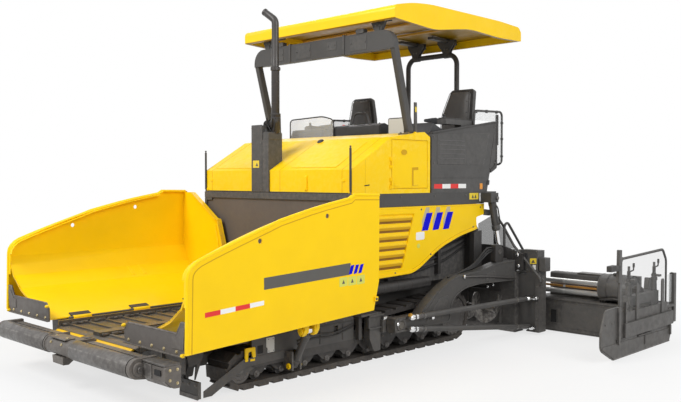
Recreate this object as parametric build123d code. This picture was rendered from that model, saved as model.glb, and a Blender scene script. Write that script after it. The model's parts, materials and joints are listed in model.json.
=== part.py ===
from build123d import *
import os
from math import atan2, cos, degrees, pi, radians, sin, tan

# Tracked asphalt paver with a telescopic screed, all sizes in millimetres.
# Layout frame: X to the machine's left, Y to its rear from the front edge of
# the hopper wings, Z up from the ground. write_parts() moves everything so
# that the origin is the centre of the bounding box on the ground.

# ---------------------------------------------------------------- shared
SEAT_GAP = 0.3               # between faces that rest on each other
PIN_GAP = 0.5                # round a pin in its eye
CYL_BORE_GAP = 1.0           # round a rod in its barrel

# ---------------------------------------------------------------- chassis
HALF_WIDTH = 1245.0          # half width of the tractor body
BULKHEAD_Y = 2318.0          # front face of the wall behind the hopper
BULKHEAD_T = 40.0
POST_R = 8.0                 # corner marker rods
BAND_TOP = 1760.0            # top of the dark beam round the tractor
BAND_BOTTOM = 1615.0
BAND_T = 60.0
BODY_REAR_Y = 4550.0
FRAME_REAR_Y = 4440.0
DECK_REAR_Y = 4960.0
DECK_T = 40.0
FRAME_X = 860.0              # inner face of the chassis side plates
FRAME_T = 40.0
FRAME_Y0 = 260.0
FRAME_BOTTOM = 230.0
FRAME_TOP = 440.0
BODY_BOTTOM = 720.0
BODY_HALF = HALF_WIDTH - 165
SKIN = 12.0

# ---------------------------------------------------------------- hopper
WING_X = 1650.0              # outer face of a hopper wing
WING_T = 10.0
WING_LEN = 2285.0
WING_LIP = 55.0              # width of the folded edge
WING_LIP_T = 12.0
HINGE_X = 780.0
HINGE_Z = 500.0
HINGE_R = 22.0
HINGE_PIN_R = 10.0
HINGE_BRACKET_R = 16.0
HINGE_KNUCKLES = (300.0, 1000.0, 1700.0)    # front end of each
HINGE_KNUCKLE_L = 200.0
WING_SLOPE = 0.45
FLOOR_BEND_X = 1380.0
WING_REAR_Y = 2255.0
WING_REAR_T = 12.0
WING_HOLE_R = 22.5
WING_HOLES = ((753.0, 1394.0), (1563.0, 1580.0))    # (y, z) of each
FLAP_X0 = 710.0
FLAP_X1 = 1600.0
FLAP_T = 16.0
FLAP_BOTTOM = 500.0
FLAP_TOP = 690.0
FLAP_HIGH = 787.0
CONVEYOR_HALF = 740.0
CONVEYOR_Z = 440.0
CONVEYOR_T = 40.0
CONVEYOR_Y0 = 130.0
CONVEYOR_Y1 = 4130.0
SLAT_PITCH = 200.0
SLAT_H = 16.0
SLAT_W = 36.0
TUNNEL_TOP = 860.0

# ---------------------------------------------------------------- wing cylinders
CYL_Y = 1470.0
CYL_FOOT_X = 1290.0
CYL_FOOT_Z = 150.0
CYL_LUG_X = 1490.0
CYL_LUG_Z = 515.0
CYL_BARREL_R = 34.0
CYL_BARREL_L = 370.0
CYL_ROD_R = 18.0
CYL_EYE_W = 60.0             # width of the eyes at both ends
CYL_PIN_R = 14.0
CYL_EYE_GAP = 11.0           # round the pin in a rod's eye, for its drift in mid stroke
CYL_BOSS_R = 28.0
CYL_LUG_GAP = 6.0
CYL_LUG_T = 22.0

# ---------------------------------------------------------------- tracks
TRACK_X0 = HALF_WIDTH - 325
TRACK_X1 = HALF_WIDTH - 25
TRACK_T = 60.0
IDLER_Y = 885.0
IDLER_R = 180.0
SPROCKET_Y = 4110.0
SPROCKET_R = 290.0
ROLLER_GAP = 0.3
TRACK_ROLLER_R = 56.0
TRACK_ROLLERS = 10
SHOES = 44
SHOE_H = 22.0                # height of a shoe's pad over the belt
SHOE_SHARE = 0.74            # of the pitch that a shoe takes
GUARD_X = TRACK_X1 + 6
GUARD_T = 12.0
SCRAPER_X0 = HALF_WIDTH - 285
SCRAPER_X1 = HALF_WIDTH - 5

# ---------------------------------------------------------------- push beam
LASHING_R = 25.0
LASHING_Z = 300.0
LASHING_Y = 372.0
PUSH_Y = -200.0              # axis of the push rollers
PUSH_Z = 390.0
PUSH_R = 88.0
PUSH_X0 = 245.0
PUSH_X1 = 1205.0
PUSH_GAP = 6.0
PUSH_ARM_R = 80.0            # round end of the arms that hold the rollers
PUSH_AXLE_R = 30.0
PUSH_STUB = 36.0             # length of an axle stub past its roller
PUSH_BEAM_Y = -30.0          # rear face of the swinging beam
PUSH_END_X = 1580.0          # outer end of the beam's end blocks
PUSH_PIVOT_Y = 20.0
PUSH_PIN_R = 22.0

# ---------------------------------------------------------------- tractor top
HOOD_BOTTOM = BAND_TOP + SEAT_GAP
HOOD_FRONT_TOP = 2015.0
HOOD_TOP = 2446.0
HOOD_REAR_Y = 3605.0
HOOD_T = 14.0
DOOR_Y0 = 2935.0
DOOR_Y1 = 3560.0
DOOR_Z0 = 1810.0
DOOR_Z1 = 2350.0
DOOR_GAP = 6.0
DOOR_HINGE_R = 12.0
DOOR_HINGE_X = HALF_WIDTH + 13.0
DOOR_HINGE_Y = DOOR_Y0 - 2.0
DOOR_HINGE_Z = (1870.0, 2090.0)
DOOR_KNUCKLE = 40.0
STACK_X = -68.0
STACK_Y = 2430.0
STACK_R = 47.0
STACK_TIP_R = 41.0
STACK_JOINT = 3185.0       # top of the wide lower tube
STACK_TOP = 3725.0
EXHAUST_X0 = -330.0
EXHAUST_X1 = -45.0
EXHAUST_Y0 = 2305.0
EXHAUST_Y1 = 2510.0
EXHAUST_TOP = 2440.0

# ---------------------------------------------------------------- stations and canopy
STATION_X0 = HALF_WIDTH - 685
STATION_T = 40.0             # thickness of a station's side
STATION_GUARD_Z = 2760.0
STATION_Y0 = 3632.0
STATION_Z0 = BAND_TOP + SEAT_GAP
STATION_FRONT_TOP = 2450.0
STATION_REAR_TOP = 2635.0
SEAT_X = HALF_WIDTH - 385
SEAT_Y = 4560.0
SEAT_Z = 2440.0
SEAT_TOP = 3050.0
SEAT_W = 520.0
SEAT_BACK_TOP_W = 330.0
CANOPY_HALF = HALF_WIDTH + 24
CANOPY_Y0 = 2960.0
CANOPY_Y1 = 5457.0
CANOPY_TOP = 3880.0
CANOPY_EDGE = 55.0
ROOF_MOUNT = 60.0            # width of the posts under the canopy
LEG_X = HALF_WIDTH - 95
LEG_W = 62.0
HOOP_Y = 5230.0
HOOP_HALF = 420.0
HOOP_FOOT_Y = 4890.0
HOOP_R = 34.0

# ---------------------------------------------------------------- augers
AUGER_Y = 4665.0
AUGER_Z = 330.0
AUGER_R = 185.0
AUGER_SHAFT_R = 38.0
AUGER_X0 = 50.0
GEAR_HALF = 90.0             # half width of the auger gear case
AUGER_X1 = 1450.0
AUGER_PADDLES = 9
AUGER_FLIGHT_T = 12.0
AUGER_LEAN = radians(17)

# ---------------------------------------------------------------- screed
BASE_HALF = 1500.0
TOW_X0 = BASE_HALF - 115
TOW_X1 = BASE_HALF
TOW_Y = 2800.0
TOW_Z = 385.0
TOW_PIN_R = 45.0
BASE_Y0 = 4980.0
BASE_Y1 = 5360.0
BASE_TOP = 770.0
UPPER_HALF = BASE_HALF - 150         # half width of the guide box behind the front box
UPPER_Y1 = 5620.0
UPPER_Z0 = 450.0
SOLE_Z = 10.0
COLUMN_X0 = BASE_HALF + 110
COLUMN_X1 = COLUMN_X0 + 180
COLUMN_Y0 = 5070.0
COLUMN_Y1 = 5230.0
BRACE_R = 30.0
BRACE_FRONT_X = TOW_X1 + 40
BRACE_FRONT_Y = 2920.0
BRACE_Z = ((455.0, 441.0), (335.0, 90.0))    # (front, rear) height of each brace pipe
RAIL_X = UPPER_HALF - 70
RAIL_R = 16.0
LIFT_X = TOW_X0 - 60
LIFT_TOP_Y = 4720.0
LIFT_TOP_Z = BAND_TOP - 80
LIFT_EYE_Y = 4940.0
LIFT_EYE_Z = 900.0
LIFT_EYE_GAP = 12.0          # round the pin in a rod's eye, for its drift in mid stroke
LIFT_BARREL_R = 46.0
LIFT_BARREL_L = 412.0
LIFT_ROD_R = 25.0
LIFT_BOSS_STEP = 3.0
LIFT_BOSS_R = 36.0
LIFT_PIN_R = 16.0
LIFT_EYE_W = 60.0
EXT_X0 = BASE_HALF + 30
EXT_X1 = EXT_X0 + 1490
EXT_Y0 = 5420.0
EXT_Y1 = 5860.0
EXT_TOP = 430.0
TUBE_Y = 5500.0
TUBE_R = 32.0
TUBE_Z = (640.0, 515.0)
TUBE_X0 = EXT_X0 - 510
ROD_Z = 578.0
ROD_R = 14.0
DRUM_X0 = EXT_X1 - 640
DRUM_X1 = EXT_X1 - 260
DRUM_R = 168.0
DRUM_Z = 600.0
GATE_X0 = EXT_X1 + 40
GATE_X1 = GATE_X0 + 54
GATE_T = 22.0
GATE_Z0 = 5.0
JACK_R = 22.0
JACK_TOP = 780.0
SCREW_R = 14.0
SCREW_TOP = 950.0
JACK_X = EXT_X1 - 35
JACK_Y = (4940.0, 5600.0)
REAR_Y = 6160.0
WALK_Z = 340.0
WALK_Y0 = 5885.0
WALK_Y1 = 6090.0
WALK_ARM_X = 560.0
WALK_T = 30.0
EXT_WALK_Z = 410.0

# ---------------------------------------------------------------- origin
FRONT_Y = PUSH_Y - PUSH_R
SHIFT = (0.0, -(FRONT_Y + REAR_Y) / 2, 0.0)


# ================================================================ shape helpers
def block(x, y, z):
    """Box from three (low, high) pairs."""
    size = (x[1] - x[0], y[1] - y[0], z[1] - z[0])
    middle = ((x[0] + x[1]) / 2, (y[0] + y[1]) / 2, (z[0] + z[1]) / 2)
    return Pos(*middle) * Box(*size)


def smooth_face(points, radii):
    """Plane face with an arc at each corner that has a radius."""
    edges = []
    corners = []
    for i, (point, radius) in enumerate(zip(points, radii)):
        here = Vector(*point)
        if not radius:
            corners.append((here, here))
            continue
        back = (Vector(*points[i - 1]) - here).normalized()
        ahead = (Vector(*points[(i + 1) % len(points)]) - here).normalized()
        half = radians(back.get_angle(ahead)) / 2
        start, end = here + back * (radius / tan(half)), here + ahead * (radius / tan(half))
        middle = here + (back + ahead).normalized() * (radius / sin(half) - radius)
        edges.append(ThreePointArc(start, middle, end))
        corners.append((start, end))
    for i, (start, _) in enumerate(corners):
        edges.append(Line(corners[i - 1][1], start))
    return make_face(edges)


def side_plate(points, x0, x1, radii=None):
    """Outline of (y, z) points, extruded from x0 to x1."""
    plane = Plane(origin=(x0, 0, 0), x_dir=(0, 1, 0), z_dir=(1, 0, 0))
    face = smooth_face(points, radii) if radii else make_face(Polyline(*points, close=True))
    return extrude(plane * face, x1 - x0)


def cross_plate(points, y0, y1):
    """Outline of (x, z) points, extruded from y0 to y1."""
    plane = Plane(origin=(0, y1, 0), x_dir=(1, 0, 0), z_dir=(0, -1, 0))
    return extrude(plane * make_face(Polyline(*points, close=True)), y1 - y0)


def flat_plate(points, z0, z1):
    """Outline of (x, y) points, extruded from z0 to z1."""
    return extrude(Pos(0, 0, z0) * make_face(Polyline(*points, close=True)), z1 - z0)


def rod(start, end, radius):
    """Round bar between two points."""
    axis = Vector(*end) - Vector(*start)
    return Solid.make_cylinder(radius, axis.length, Plane(origin=start, z_dir=axis))


def pipe(points, bend, radius):
    """Round tube through points with bends of one radius, filled solid."""
    path = FilletPolyline(*points, radius=bend)
    section = Plane(origin=path @ 0, z_dir=path % 0) * Circle(radius)
    return sweep(section, path=path)


def other_side(shape):
    return mirror(shape, about=Plane.YZ)


def both(shape):
    return [shape, other_side(shape)]


def joined(*shapes):
    result = shapes[0]
    for shape in shapes[1:]:
        result = result + shape
    return result


def along(start, end, distance):
    """Point at a distance from start on the way to end."""
    step = (Vector(*end) - Vector(*start)).normalized() * distance
    return tuple(Vector(*start) + step)


# ================================================================ chassis pieces
def main_frame():
    side = block((FRAME_X, FRAME_X + FRAME_T), (FRAME_Y0, FRAME_REAR_Y), (FRAME_BOTTOM, FRAME_TOP))
    front_y = BULKHEAD_Y + BULKHEAD_T + SEAT_GAP
    body = block((-BODY_HALF, BODY_HALF), (front_y, BODY_REAR_Y), (BODY_BOTTOM, BAND_BOTTOM - SEAT_GAP))
    room = block((-BODY_HALF + FRAME_T, BODY_HALF - FRAME_T),
                 (front_y + FRAME_T, BODY_REAR_Y - FRAME_T),
                 (TUNNEL_TOP + FRAME_T, BAND_BOTTOM + 1))
    tunnel = block((-CONVEYOR_HALF - FRAME_T, CONVEYOR_HALF + FRAME_T),
                   (0, BODY_REAR_Y + 1), (BODY_BOTTOM - 1, TUNNEL_TOP))
    body = body - room - tunnel
    side = side - rod((FRAME_X - 1, LASHING_Y, LASHING_Z), (FRAME_X + FRAME_T + 1, LASHING_Y, LASHING_Z), LASHING_R)
    web = block((FRAME_X, FRAME_X + FRAME_T),
                (front_y, FRAME_REAR_Y), (FRAME_TOP - 1, BODY_BOTTOM + 1))
    rest = CONVEYOR_Z - CONVEYOR_T - SEAT_GAP
    front = block((-FRAME_X - 1, FRAME_X + 1), (FRAME_Y0, FRAME_Y0 + 80), (FRAME_BOTTOM, rest))
    rear = block((-FRAME_X - 1, FRAME_X + 1), (FRAME_REAR_Y - 360, FRAME_REAR_Y - 300),
                 (FRAME_BOTTOM, rest))
    belly = block((-FRAME_X - 1, FRAME_X + 1), (IDLER_Y, FRAME_REAR_Y - 300), (FRAME_BOTTOM, FRAME_BOTTOM + 20))
    nose = flat_plate([(-420, FRAME_Y0 + 1), (420, FRAME_Y0 + 1), (130, PUSH_PIVOT_Y - 40),
                       (-130, PUSH_PIVOT_Y - 40)], PUSH_Z - 110, PUSH_Z - 60 - SEAT_GAP)
    pin = rod((0, PUSH_PIVOT_Y, PUSH_Z - 100), (0, PUSH_PIVOT_Y, PUSH_Z + 50), PUSH_PIN_R)
    return joined(body, *both(side), *both(web), front, rear, belly, nose, pin)


def wing_hinge():
    """Hinge pin of the left wing with its brackets on the chassis side plate."""
    front, rear = HINGE_KNUCKLES[0], HINGE_KNUCKLES[-1] + HINGE_KNUCKLE_L
    shape = rod((HINGE_X, front - 40, HINGE_Z), (HINGE_X, rear + 40, HINGE_Z), HINGE_PIN_R)
    foot = [(HINGE_X - 12, HINGE_Z - 8), (HINGE_X + 12, HINGE_Z - 8), (HINGE_X + 22, HINGE_Z - 18),
            (FRAME_X + 30, HINGE_Z - 18), (FRAME_X + 30, FRAME_TOP - 1), (FRAME_X + 2, FRAME_TOP - 1),
            (HINGE_X + 10, HINGE_Z - 34), (HINGE_X - 12, HINGE_Z - 24)]
    ends = [y - SEAT_GAP for y in HINGE_KNUCKLES] + [rear + SEAT_GAP + 40]
    for y in ends:
        barrel = rod((HINGE_X, y - 40, HINGE_Z), (HINGE_X, y, HINGE_Z), HINGE_BRACKET_R)
        shape = joined(shape, barrel, cross_plate(foot, y - 40, y))
    return shape


def conveyor_floor():
    floor = block((-CONVEYOR_HALF, CONVEYOR_HALF), (CONVEYOR_Y0, CONVEYOR_Y1),
                  (CONVEYOR_Z - CONVEYOR_T, CONVEYOR_Z))
    ridge = block((-60, 60), (CONVEYOR_Y0, CONVEYOR_Y1), (CONVEYOR_Z - 1, CONVEYOR_Z + 40))
    rail = block((CONVEYOR_HALF - 1, CONVEYOR_HALF + 12), (CONVEYOR_Y0, BULKHEAD_Y), (CONVEYOR_Z - CONVEYOR_T, HINGE_Z - 8))
    shape = joined(floor, ridge, *both(rail))
    slats = int((CONVEYOR_Y1 - CONVEYOR_Y0) / SLAT_PITCH)
    for i in range(slats):
        y = CONVEYOR_Y0 + (i + 0.5) * SLAT_PITCH
        slat = block((90, CONVEYOR_HALF - 30), (y - SLAT_W / 2, y + SLAT_W / 2),
                     (CONVEYOR_Z - 1, CONVEYOR_Z + SLAT_H))
        shape = joined(shape, *both(slat))
    return shape


def bulkhead():
    wall = block((-HALF_WIDTH, HALF_WIDTH), (BULKHEAD_Y, BULKHEAD_Y + BULKHEAD_T), (CONVEYOR_Z + 20, BAND_TOP))
    tunnel = block((-CONVEYOR_HALF, CONVEYOR_HALF), (0, 5000), (0, TUNNEL_TOP - 60))
    track_room = block((CONVEYOR_HALF + 180, 2000), (0, 5000), (0, BODY_BOTTOM - 60))
    wall = wall - tunnel
    for room in both(track_room):
        wall = wall - room
    post_y = BULKHEAD_Y - POST_R - 2
    post = rod((HALF_WIDTH - 12, post_y, BAND_TOP - 60), (HALF_WIDTH - 12, post_y, 2250), POST_R)
    foot = block((HALF_WIDTH - 24, HALF_WIDTH), (post_y - POST_R, BULKHEAD_Y + 1), (BAND_TOP - 70, BAND_TOP - 20))
    return joined(wall, *both(post), *both(foot))


def engine_block():
    return block((-450, 450), (2700, 3560), (TUNNEL_TOP + FRAME_T + SEAT_GAP, 2000))


def hood_outline(inset):
    """(y, z) outline of the engine hood, moved inwards by inset."""
    return [(BULKHEAD_Y + inset, HOOD_BOTTOM), (BULKHEAD_Y + inset, HOOD_FRONT_TOP - inset * 0.5),
            (2935 + inset * 0.3, 2372 - inset), (3500 - inset * 0.3, HOOD_TOP - inset),
            (HOOD_REAR_Y - inset, 2390 - inset * 0.5), (HOOD_REAR_Y - inset, HOOD_BOTTOM)]


def hood_top_at(y):
    """Height of the hood's upper line above a given y."""
    (y0, z0), (y1, z1) = hood_outline(0)[2:4]
    return z0 + (y - y0) * (z1 - z0) / (y1 - y0)


def hood():
    shell = side_plate(hood_outline(0), -HALF_WIDTH, HALF_WIDTH)
    shell = shell - side_plate([(y, z - (1 if z == HOOD_BOTTOM else 0)) for y, z in hood_outline(HOOD_T)],
                               -HALF_WIDTH + HOOD_T, HALF_WIDTH - HOOD_T)
    doorway = block((HALF_WIDTH - 2 * HOOD_T, HALF_WIDTH + 1), (DOOR_Y0, DOOR_Y1), (DOOR_Z0, DOOR_Z1))
    for opening in both(doorway):
        shell = shell - opening
    slot = block((EXHAUST_X0 - 3, EXHAUST_X1 + 3), (EXHAUST_Y0 - 50, EXHAUST_Y1 + 3), (HOOD_BOTTOM - 1, 2600))
    shell = shell - slot
    for z in DOOR_HINGE_Z:
        for z0 in (z - DOOR_KNUCKLE * 1.5 - SEAT_GAP, z + DOOR_KNUCKLE / 2 + SEAT_GAP):
            knuckle = rod((DOOR_HINGE_X, DOOR_HINGE_Y, z0), (DOOR_HINGE_X, DOOR_HINGE_Y, z0 + DOOR_KNUCKLE), DOOR_HINGE_R)
            leaf = block((HALF_WIDTH - 1, DOOR_HINGE_X), (DOOR_HINGE_Y - 30, DOOR_HINGE_Y - 4), (z0, z0 + DOOR_KNUCKLE))
            shell = joined(shell, *both(knuckle), *both(leaf))
    return shell


def hood_door():
    """Left side door, on two hinge knuckles at its front edge."""
    panel = block((HALF_WIDTH - HOOD_T, HALF_WIDTH), (DOOR_Y0 + DOOR_GAP, DOOR_Y1 - DOOR_GAP),
                  (DOOR_Z0 + DOOR_GAP, DOOR_Z1 - DOOR_GAP))
    for z in DOOR_HINGE_Z:
        z0, z1 = z - DOOR_KNUCKLE / 2, z + DOOR_KNUCKLE / 2
        knuckle = rod((DOOR_HINGE_X, DOOR_HINGE_Y, z0), (DOOR_HINGE_X, DOOR_HINGE_Y, z1), DOOR_HINGE_R)
        leaf = block((HALF_WIDTH + 1, DOOR_HINGE_X), (DOOR_HINGE_Y, DOOR_HINGE_Y + 40), (z0, z1))
        pad = block((HALF_WIDTH - 1, HALF_WIDTH + 2), (DOOR_Y0 + DOOR_GAP + 4, DOOR_HINGE_Y + 40), (z0, z1))
        panel = joined(panel, knuckle, leaf, pad)
    return panel


def exhaust_box():
    low = block((EXHAUST_X0, EXHAUST_X1), (EXHAUST_Y0, EXHAUST_Y1), (BAND_TOP + SEAT_GAP, EXHAUST_TOP))
    tall = block((EXHAUST_X0, -150), (EXHAUST_Y0, EXHAUST_Y0 + 60), (EXHAUST_TOP - 1, 2528))
    return low + tall


def exhaust_stack():
    lower = rod((STACK_X, STACK_Y, EXHAUST_TOP + SEAT_GAP), (STACK_X, STACK_Y, STACK_JOINT), STACK_R)
    points = [(STACK_X, STACK_Y, STACK_JOINT - 1), (STACK_X, STACK_Y, STACK_TOP),
              (STACK_X - 150, STACK_Y - 30, STACK_TOP + 110)]
    tube = pipe(points, 80, STACK_TIP_R)
    clamp = rod((STACK_X, STACK_Y, STACK_JOINT - 30), (STACK_X, STACK_Y, STACK_JOINT), STACK_R + 7)
    return joined(lower, tube, clamp)


SIDE_PANEL = [(2365, 1612), (4680, 1612), (4679, 1483), (4510, 1452), (4532, 1305), (4183, 1238),
              (3795, 1119), (3428, 917), (3287, 867), (2365, 850)]
SIDE_PANEL_BENDS = [0, 0, 10, 30, 40, 1000, 700, 600, 400, 0]
LOUVRE = [(2420, 1530), (3319, 1530), (3114, 942), (2420, 942)]
LOUVRE_DEPTH = 18.0
LOUVRE_SLATS = 6


def side_panels():
    panel = side_plate(SIDE_PANEL, HALF_WIDTH - 24, HALF_WIDTH, SIDE_PANEL_BENDS)
    recess = side_plate(LOUVRE, HALF_WIDTH - LOUVRE_DEPTH, HALF_WIDTH + 1)
    panel = panel - recess
    top, pitch = LOUVRE[0][1], (LOUVRE[0][1] - LOUVRE[3][1]) / LOUVRE_SLATS
    room = side_plate(LOUVRE, HALF_WIDTH - LOUVRE_DEPTH - 1, HALF_WIDTH)
    for i in range(LOUVRE_SLATS):
        z1 = top - i * pitch
        slat = cross_plate([(HALF_WIDTH - LOUVRE_DEPTH - 1, z1 + 1), (HALF_WIDTH - LOUVRE_DEPTH - 1, z1 - pitch * 0.7),
                            (HALF_WIDTH - 2, z1 - pitch * 0.7), (HALF_WIDTH - LOUVRE_DEPTH + 3, z1 + 1)],
                           LOUVRE[0][0] - 1, LOUVRE[1][0] + 1)
        panel = panel + (slat & room)
    stay = block((BODY_HALF + SEAT_GAP, HALF_WIDTH - 23), (2600, 2640), (1000, 1040))
    panel = panel + stay + Pos(0, 1750, 300) * stay
    return Compound(children=[*panel.solids(), *other_side(panel).solids()])


def platform():
    rail = block((HALF_WIDTH - BAND_T, HALF_WIDTH), (BULKHEAD_Y + BULKHEAD_T + SEAT_GAP, 4680), (BAND_BOTTOM, BAND_TOP))
    front = block((-HALF_WIDTH + 1, HALF_WIDTH - 1), (3610, 3660), (BAND_BOTTOM, BAND_TOP))
    rear = block((-HALF_WIDTH + 1, HALF_WIDTH - 1), (4620, 4679), (BAND_BOTTOM, BAND_TOP))
    deck = block((-HALF_WIDTH + 5, HALF_WIDTH - 5), (3611, DECK_REAR_Y - 10), (BAND_TOP - DECK_T, BAND_TOP))
    back = block((-HALF_WIDTH + 65, HALF_WIDTH - 65), (BODY_REAR_Y + 20, BODY_REAR_Y + 60), (BODY_BOTTOM + 100, BAND_TOP - DECK_T + 1))
    reach = LIFT_BARREL_R + LIFT_BOSS_STEP + CYL_LUG_GAP
    ear_z = (BAND_TOP - 130, BAND_TOP - 14)
    bridge = block((HALF_WIDTH - 1, LIFT_X + reach + CYL_LUG_T), (4600, 4660), ear_z)
    outer_ear = block((LIFT_X + reach, LIFT_X + reach + CYL_LUG_T), (4659, LIFT_TOP_Y + LIFT_BOSS_R), ear_z)
    inner_ear = block((LIFT_X - reach - CYL_LUG_T, LIFT_X - reach), (4659, LIFT_TOP_Y + LIFT_BOSS_R), ear_z)
    step = block((-300, 300), (BODY_REAR_Y + 59, 4850), (1150, 1180))
    pin = rod((LIFT_X - reach - 10, LIFT_TOP_Y, LIFT_TOP_Z), (LIFT_X + reach + 10, LIFT_TOP_Y, LIFT_TOP_Z), LIFT_PIN_R)
    return joined(*both(rail), front, rear, deck, back, step, Pos(0, -50, 250) * step,
                  *both(bridge), *both(outer_ear), *both(inner_ear), *both(pin))


CANOPY_ROOM = [(CANOPY_Y0 + CANOPY_EDGE, CANOPY_TOP - 140), (3400, CANOPY_TOP - 80), (5100, CANOPY_TOP - 60),
               (CANOPY_Y1 - CANOPY_EDGE, CANOPY_TOP - 100)]


def roof_inside_at(y):
    """Height of the canopy's inner face above a given y."""
    for (y0, z0), (y1, z1) in zip(CANOPY_ROOM, CANOPY_ROOM[1:]):
        if y0 <= y <= y1:
            return z0 + (y - y0) * (z1 - z0) / (y1 - y0)


def roof_mount(x, y, z0):
    """Post of a canopy frame, up to the canopy's inner face."""
    y0, y1 = y - ROOF_MOUNT / 2, y + ROOF_MOUNT / 2
    return side_plate([(y0, z0), (y0, roof_inside_at(y0) - SEAT_GAP), (y1, roof_inside_at(y1) - SEAT_GAP), (y1, z0)],
                      x - ROOF_MOUNT / 2, x + ROOF_MOUNT / 2)


def canopy():
    edge = [(CANOPY_Y0, 230), (CANOPY_Y0, 90), (3250, 30), (3560, 0), (4970, 0), (5400, 21),
            (CANOPY_Y1, 80), (CANOPY_Y1, 195), (4970, 207), (4330, 180), (3650, 275)]
    outline = [(y, CANOPY_TOP - drop) for y, drop in edge]
    roof = side_plate(outline, -CANOPY_HALF, CANOPY_HALF, [15, 60, 2000, 2500, 3000, 60, 20, 15, 3000, 1500, 1200])
    floor_z = CANOPY_TOP - 380
    room = side_plate([(CANOPY_ROOM[0][0], floor_z), *CANOPY_ROOM, (CANOPY_ROOM[-1][0], floor_z)],
                      -CANOPY_HALF + CANOPY_EDGE, CANOPY_HALF - CANOPY_EDGE)
    return roof - room


def canopy_frame():
    beam_top = CANOPY_TOP - 320
    beam = block((-LEG_X - LEG_W / 2, LEG_X + LEG_W / 2), (3045, 3125), (beam_top - 210, beam_top))
    beam = fillet(beam.edges().filter_by(Axis.Y).group_by(Axis.Z)[-1], 170)
    leg = side_plate([(3050, beam_top - 180), (3125, beam_top - 180), (3385, HOOD_TOP), (3300, HOOD_TOP)],
                     LEG_X - LEG_W / 2, LEG_X + LEG_W / 2)
    foot = side_plate([(3230, HOOD_TOP - 30), (3230, hood_top_at(3230) + SEAT_GAP),
                       (3440, hood_top_at(3440) + SEAT_GAP), (3440, HOOD_TOP + 10)],
                      LEG_X - LEG_W / 2 - 15, LEG_X + LEG_W / 2 + 15)
    pad = roof_mount(LEG_X - 220, 3085, beam_top - 1)
    front = joined(beam, *both(leg), *both(pad))
    foot_z = BAND_TOP + SEAT_GAP
    hoop_top = CANOPY_TOP - 290
    hoop = pipe([(HOOP_HALF, HOOP_FOOT_Y, foot_z), (HOOP_HALF, HOOP_FOOT_Y, 2250), (HOOP_HALF, HOOP_Y, 2700),
                 (HOOP_HALF, HOOP_Y, hoop_top), (-HOOP_HALF, HOOP_Y, hoop_top), (-HOOP_HALF, HOOP_Y, 2700),
                 (-HOOP_HALF, HOOP_FOOT_Y, 2250), (-HOOP_HALF, HOOP_FOOT_Y, foot_z)], 140, HOOP_R)
    stem = roof_mount(HOOP_HALF - 155, HOOP_Y, hoop_top - 10)
    rear = joined(hoop, *both(stem))
    return Compound(children=[*front.solids(), *rear.solids()])


def track_outline(inset):
    """Closed (y, z) face round idler and sprocket, moved inwards by inset."""
    idler = Pos(IDLER_Y, IDLER_R) * Circle(IDLER_R - inset)
    sprocket = Pos(SPROCKET_Y, SPROCKET_R) * Circle(SPROCKET_R - inset)
    tilt = atan2(SPROCKET_R - IDLER_R, SPROCKET_Y - IDLER_Y)
    angle = pi / 2 + 2 * tilt / 1.0
    middle = make_face(Polyline(
        (IDLER_Y, inset), (SPROCKET_Y, inset),
        (SPROCKET_Y + (SPROCKET_R - inset) * cos(angle), SPROCKET_R + (SPROCKET_R - inset) * sin(angle)),
        (IDLER_Y + (IDLER_R - inset) * cos(angle), IDLER_R + (IDLER_R - inset) * sin(angle)), close=True))
    return idler + sprocket + middle


def track_points():
    """Corners (y, z) of the shoes round the loop: two on the belt and two on the ground side of each."""
    rise = SPROCKET_R - IDLER_R
    run = SPROCKET_Y - IDLER_Y
    top = pi / 2 + 2 * atan2(rise, run)
    lengths = [run, SPROCKET_R * (top + pi / 2), run, IDLER_R * (3 * pi / 2 - top)]

    def at(distance, inset):
        for part, length in enumerate(lengths):
            if distance <= length:
                break
            distance -= length
        share = distance / length
        if part in (0, 2):
            angle = -pi / 2 if part == 0 else top
        elif part == 1:
            angle = -pi / 2 + (top + pi / 2) * share
        else:
            angle = top + (3 * pi / 2 - top) * share
        y = (IDLER_Y, SPROCKET_Y, SPROCKET_Y, IDLER_Y)[part]
        radius = (IDLER_R, SPROCKET_R, SPROCKET_R, IDLER_R)[part]
        if part == 0:
            y = IDLER_Y + run * share
        elif part == 2:
            y = SPROCKET_Y - run * share
            radius = SPROCKET_R - rise * share
        return y + (radius - inset) * cos(angle), radius + (radius - inset) * sin(angle)

    pitch = sum(lengths) / SHOES
    points = []
    for i in range(SHOES):
        start = i * pitch + pitch * (1 - SHOE_SHARE) / 2
        end = start + pitch * SHOE_SHARE
        points += [at(start, SHOE_H), at(start + 6, 0), at(end - 6, 0), at(end, SHOE_H)]
    return points


def track():
    """Closed loop of shoes on a belt."""
    plane = Plane(origin=(TRACK_X0, 0, 0), x_dir=(0, 1, 0), z_dir=(1, 0, 0))
    outer = side_plate(track_points(), TRACK_X0, TRACK_X1)
    inner = extrude(plane * track_outline(TRACK_T), TRACK_X1 - TRACK_X0)
    return outer - inner


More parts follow.
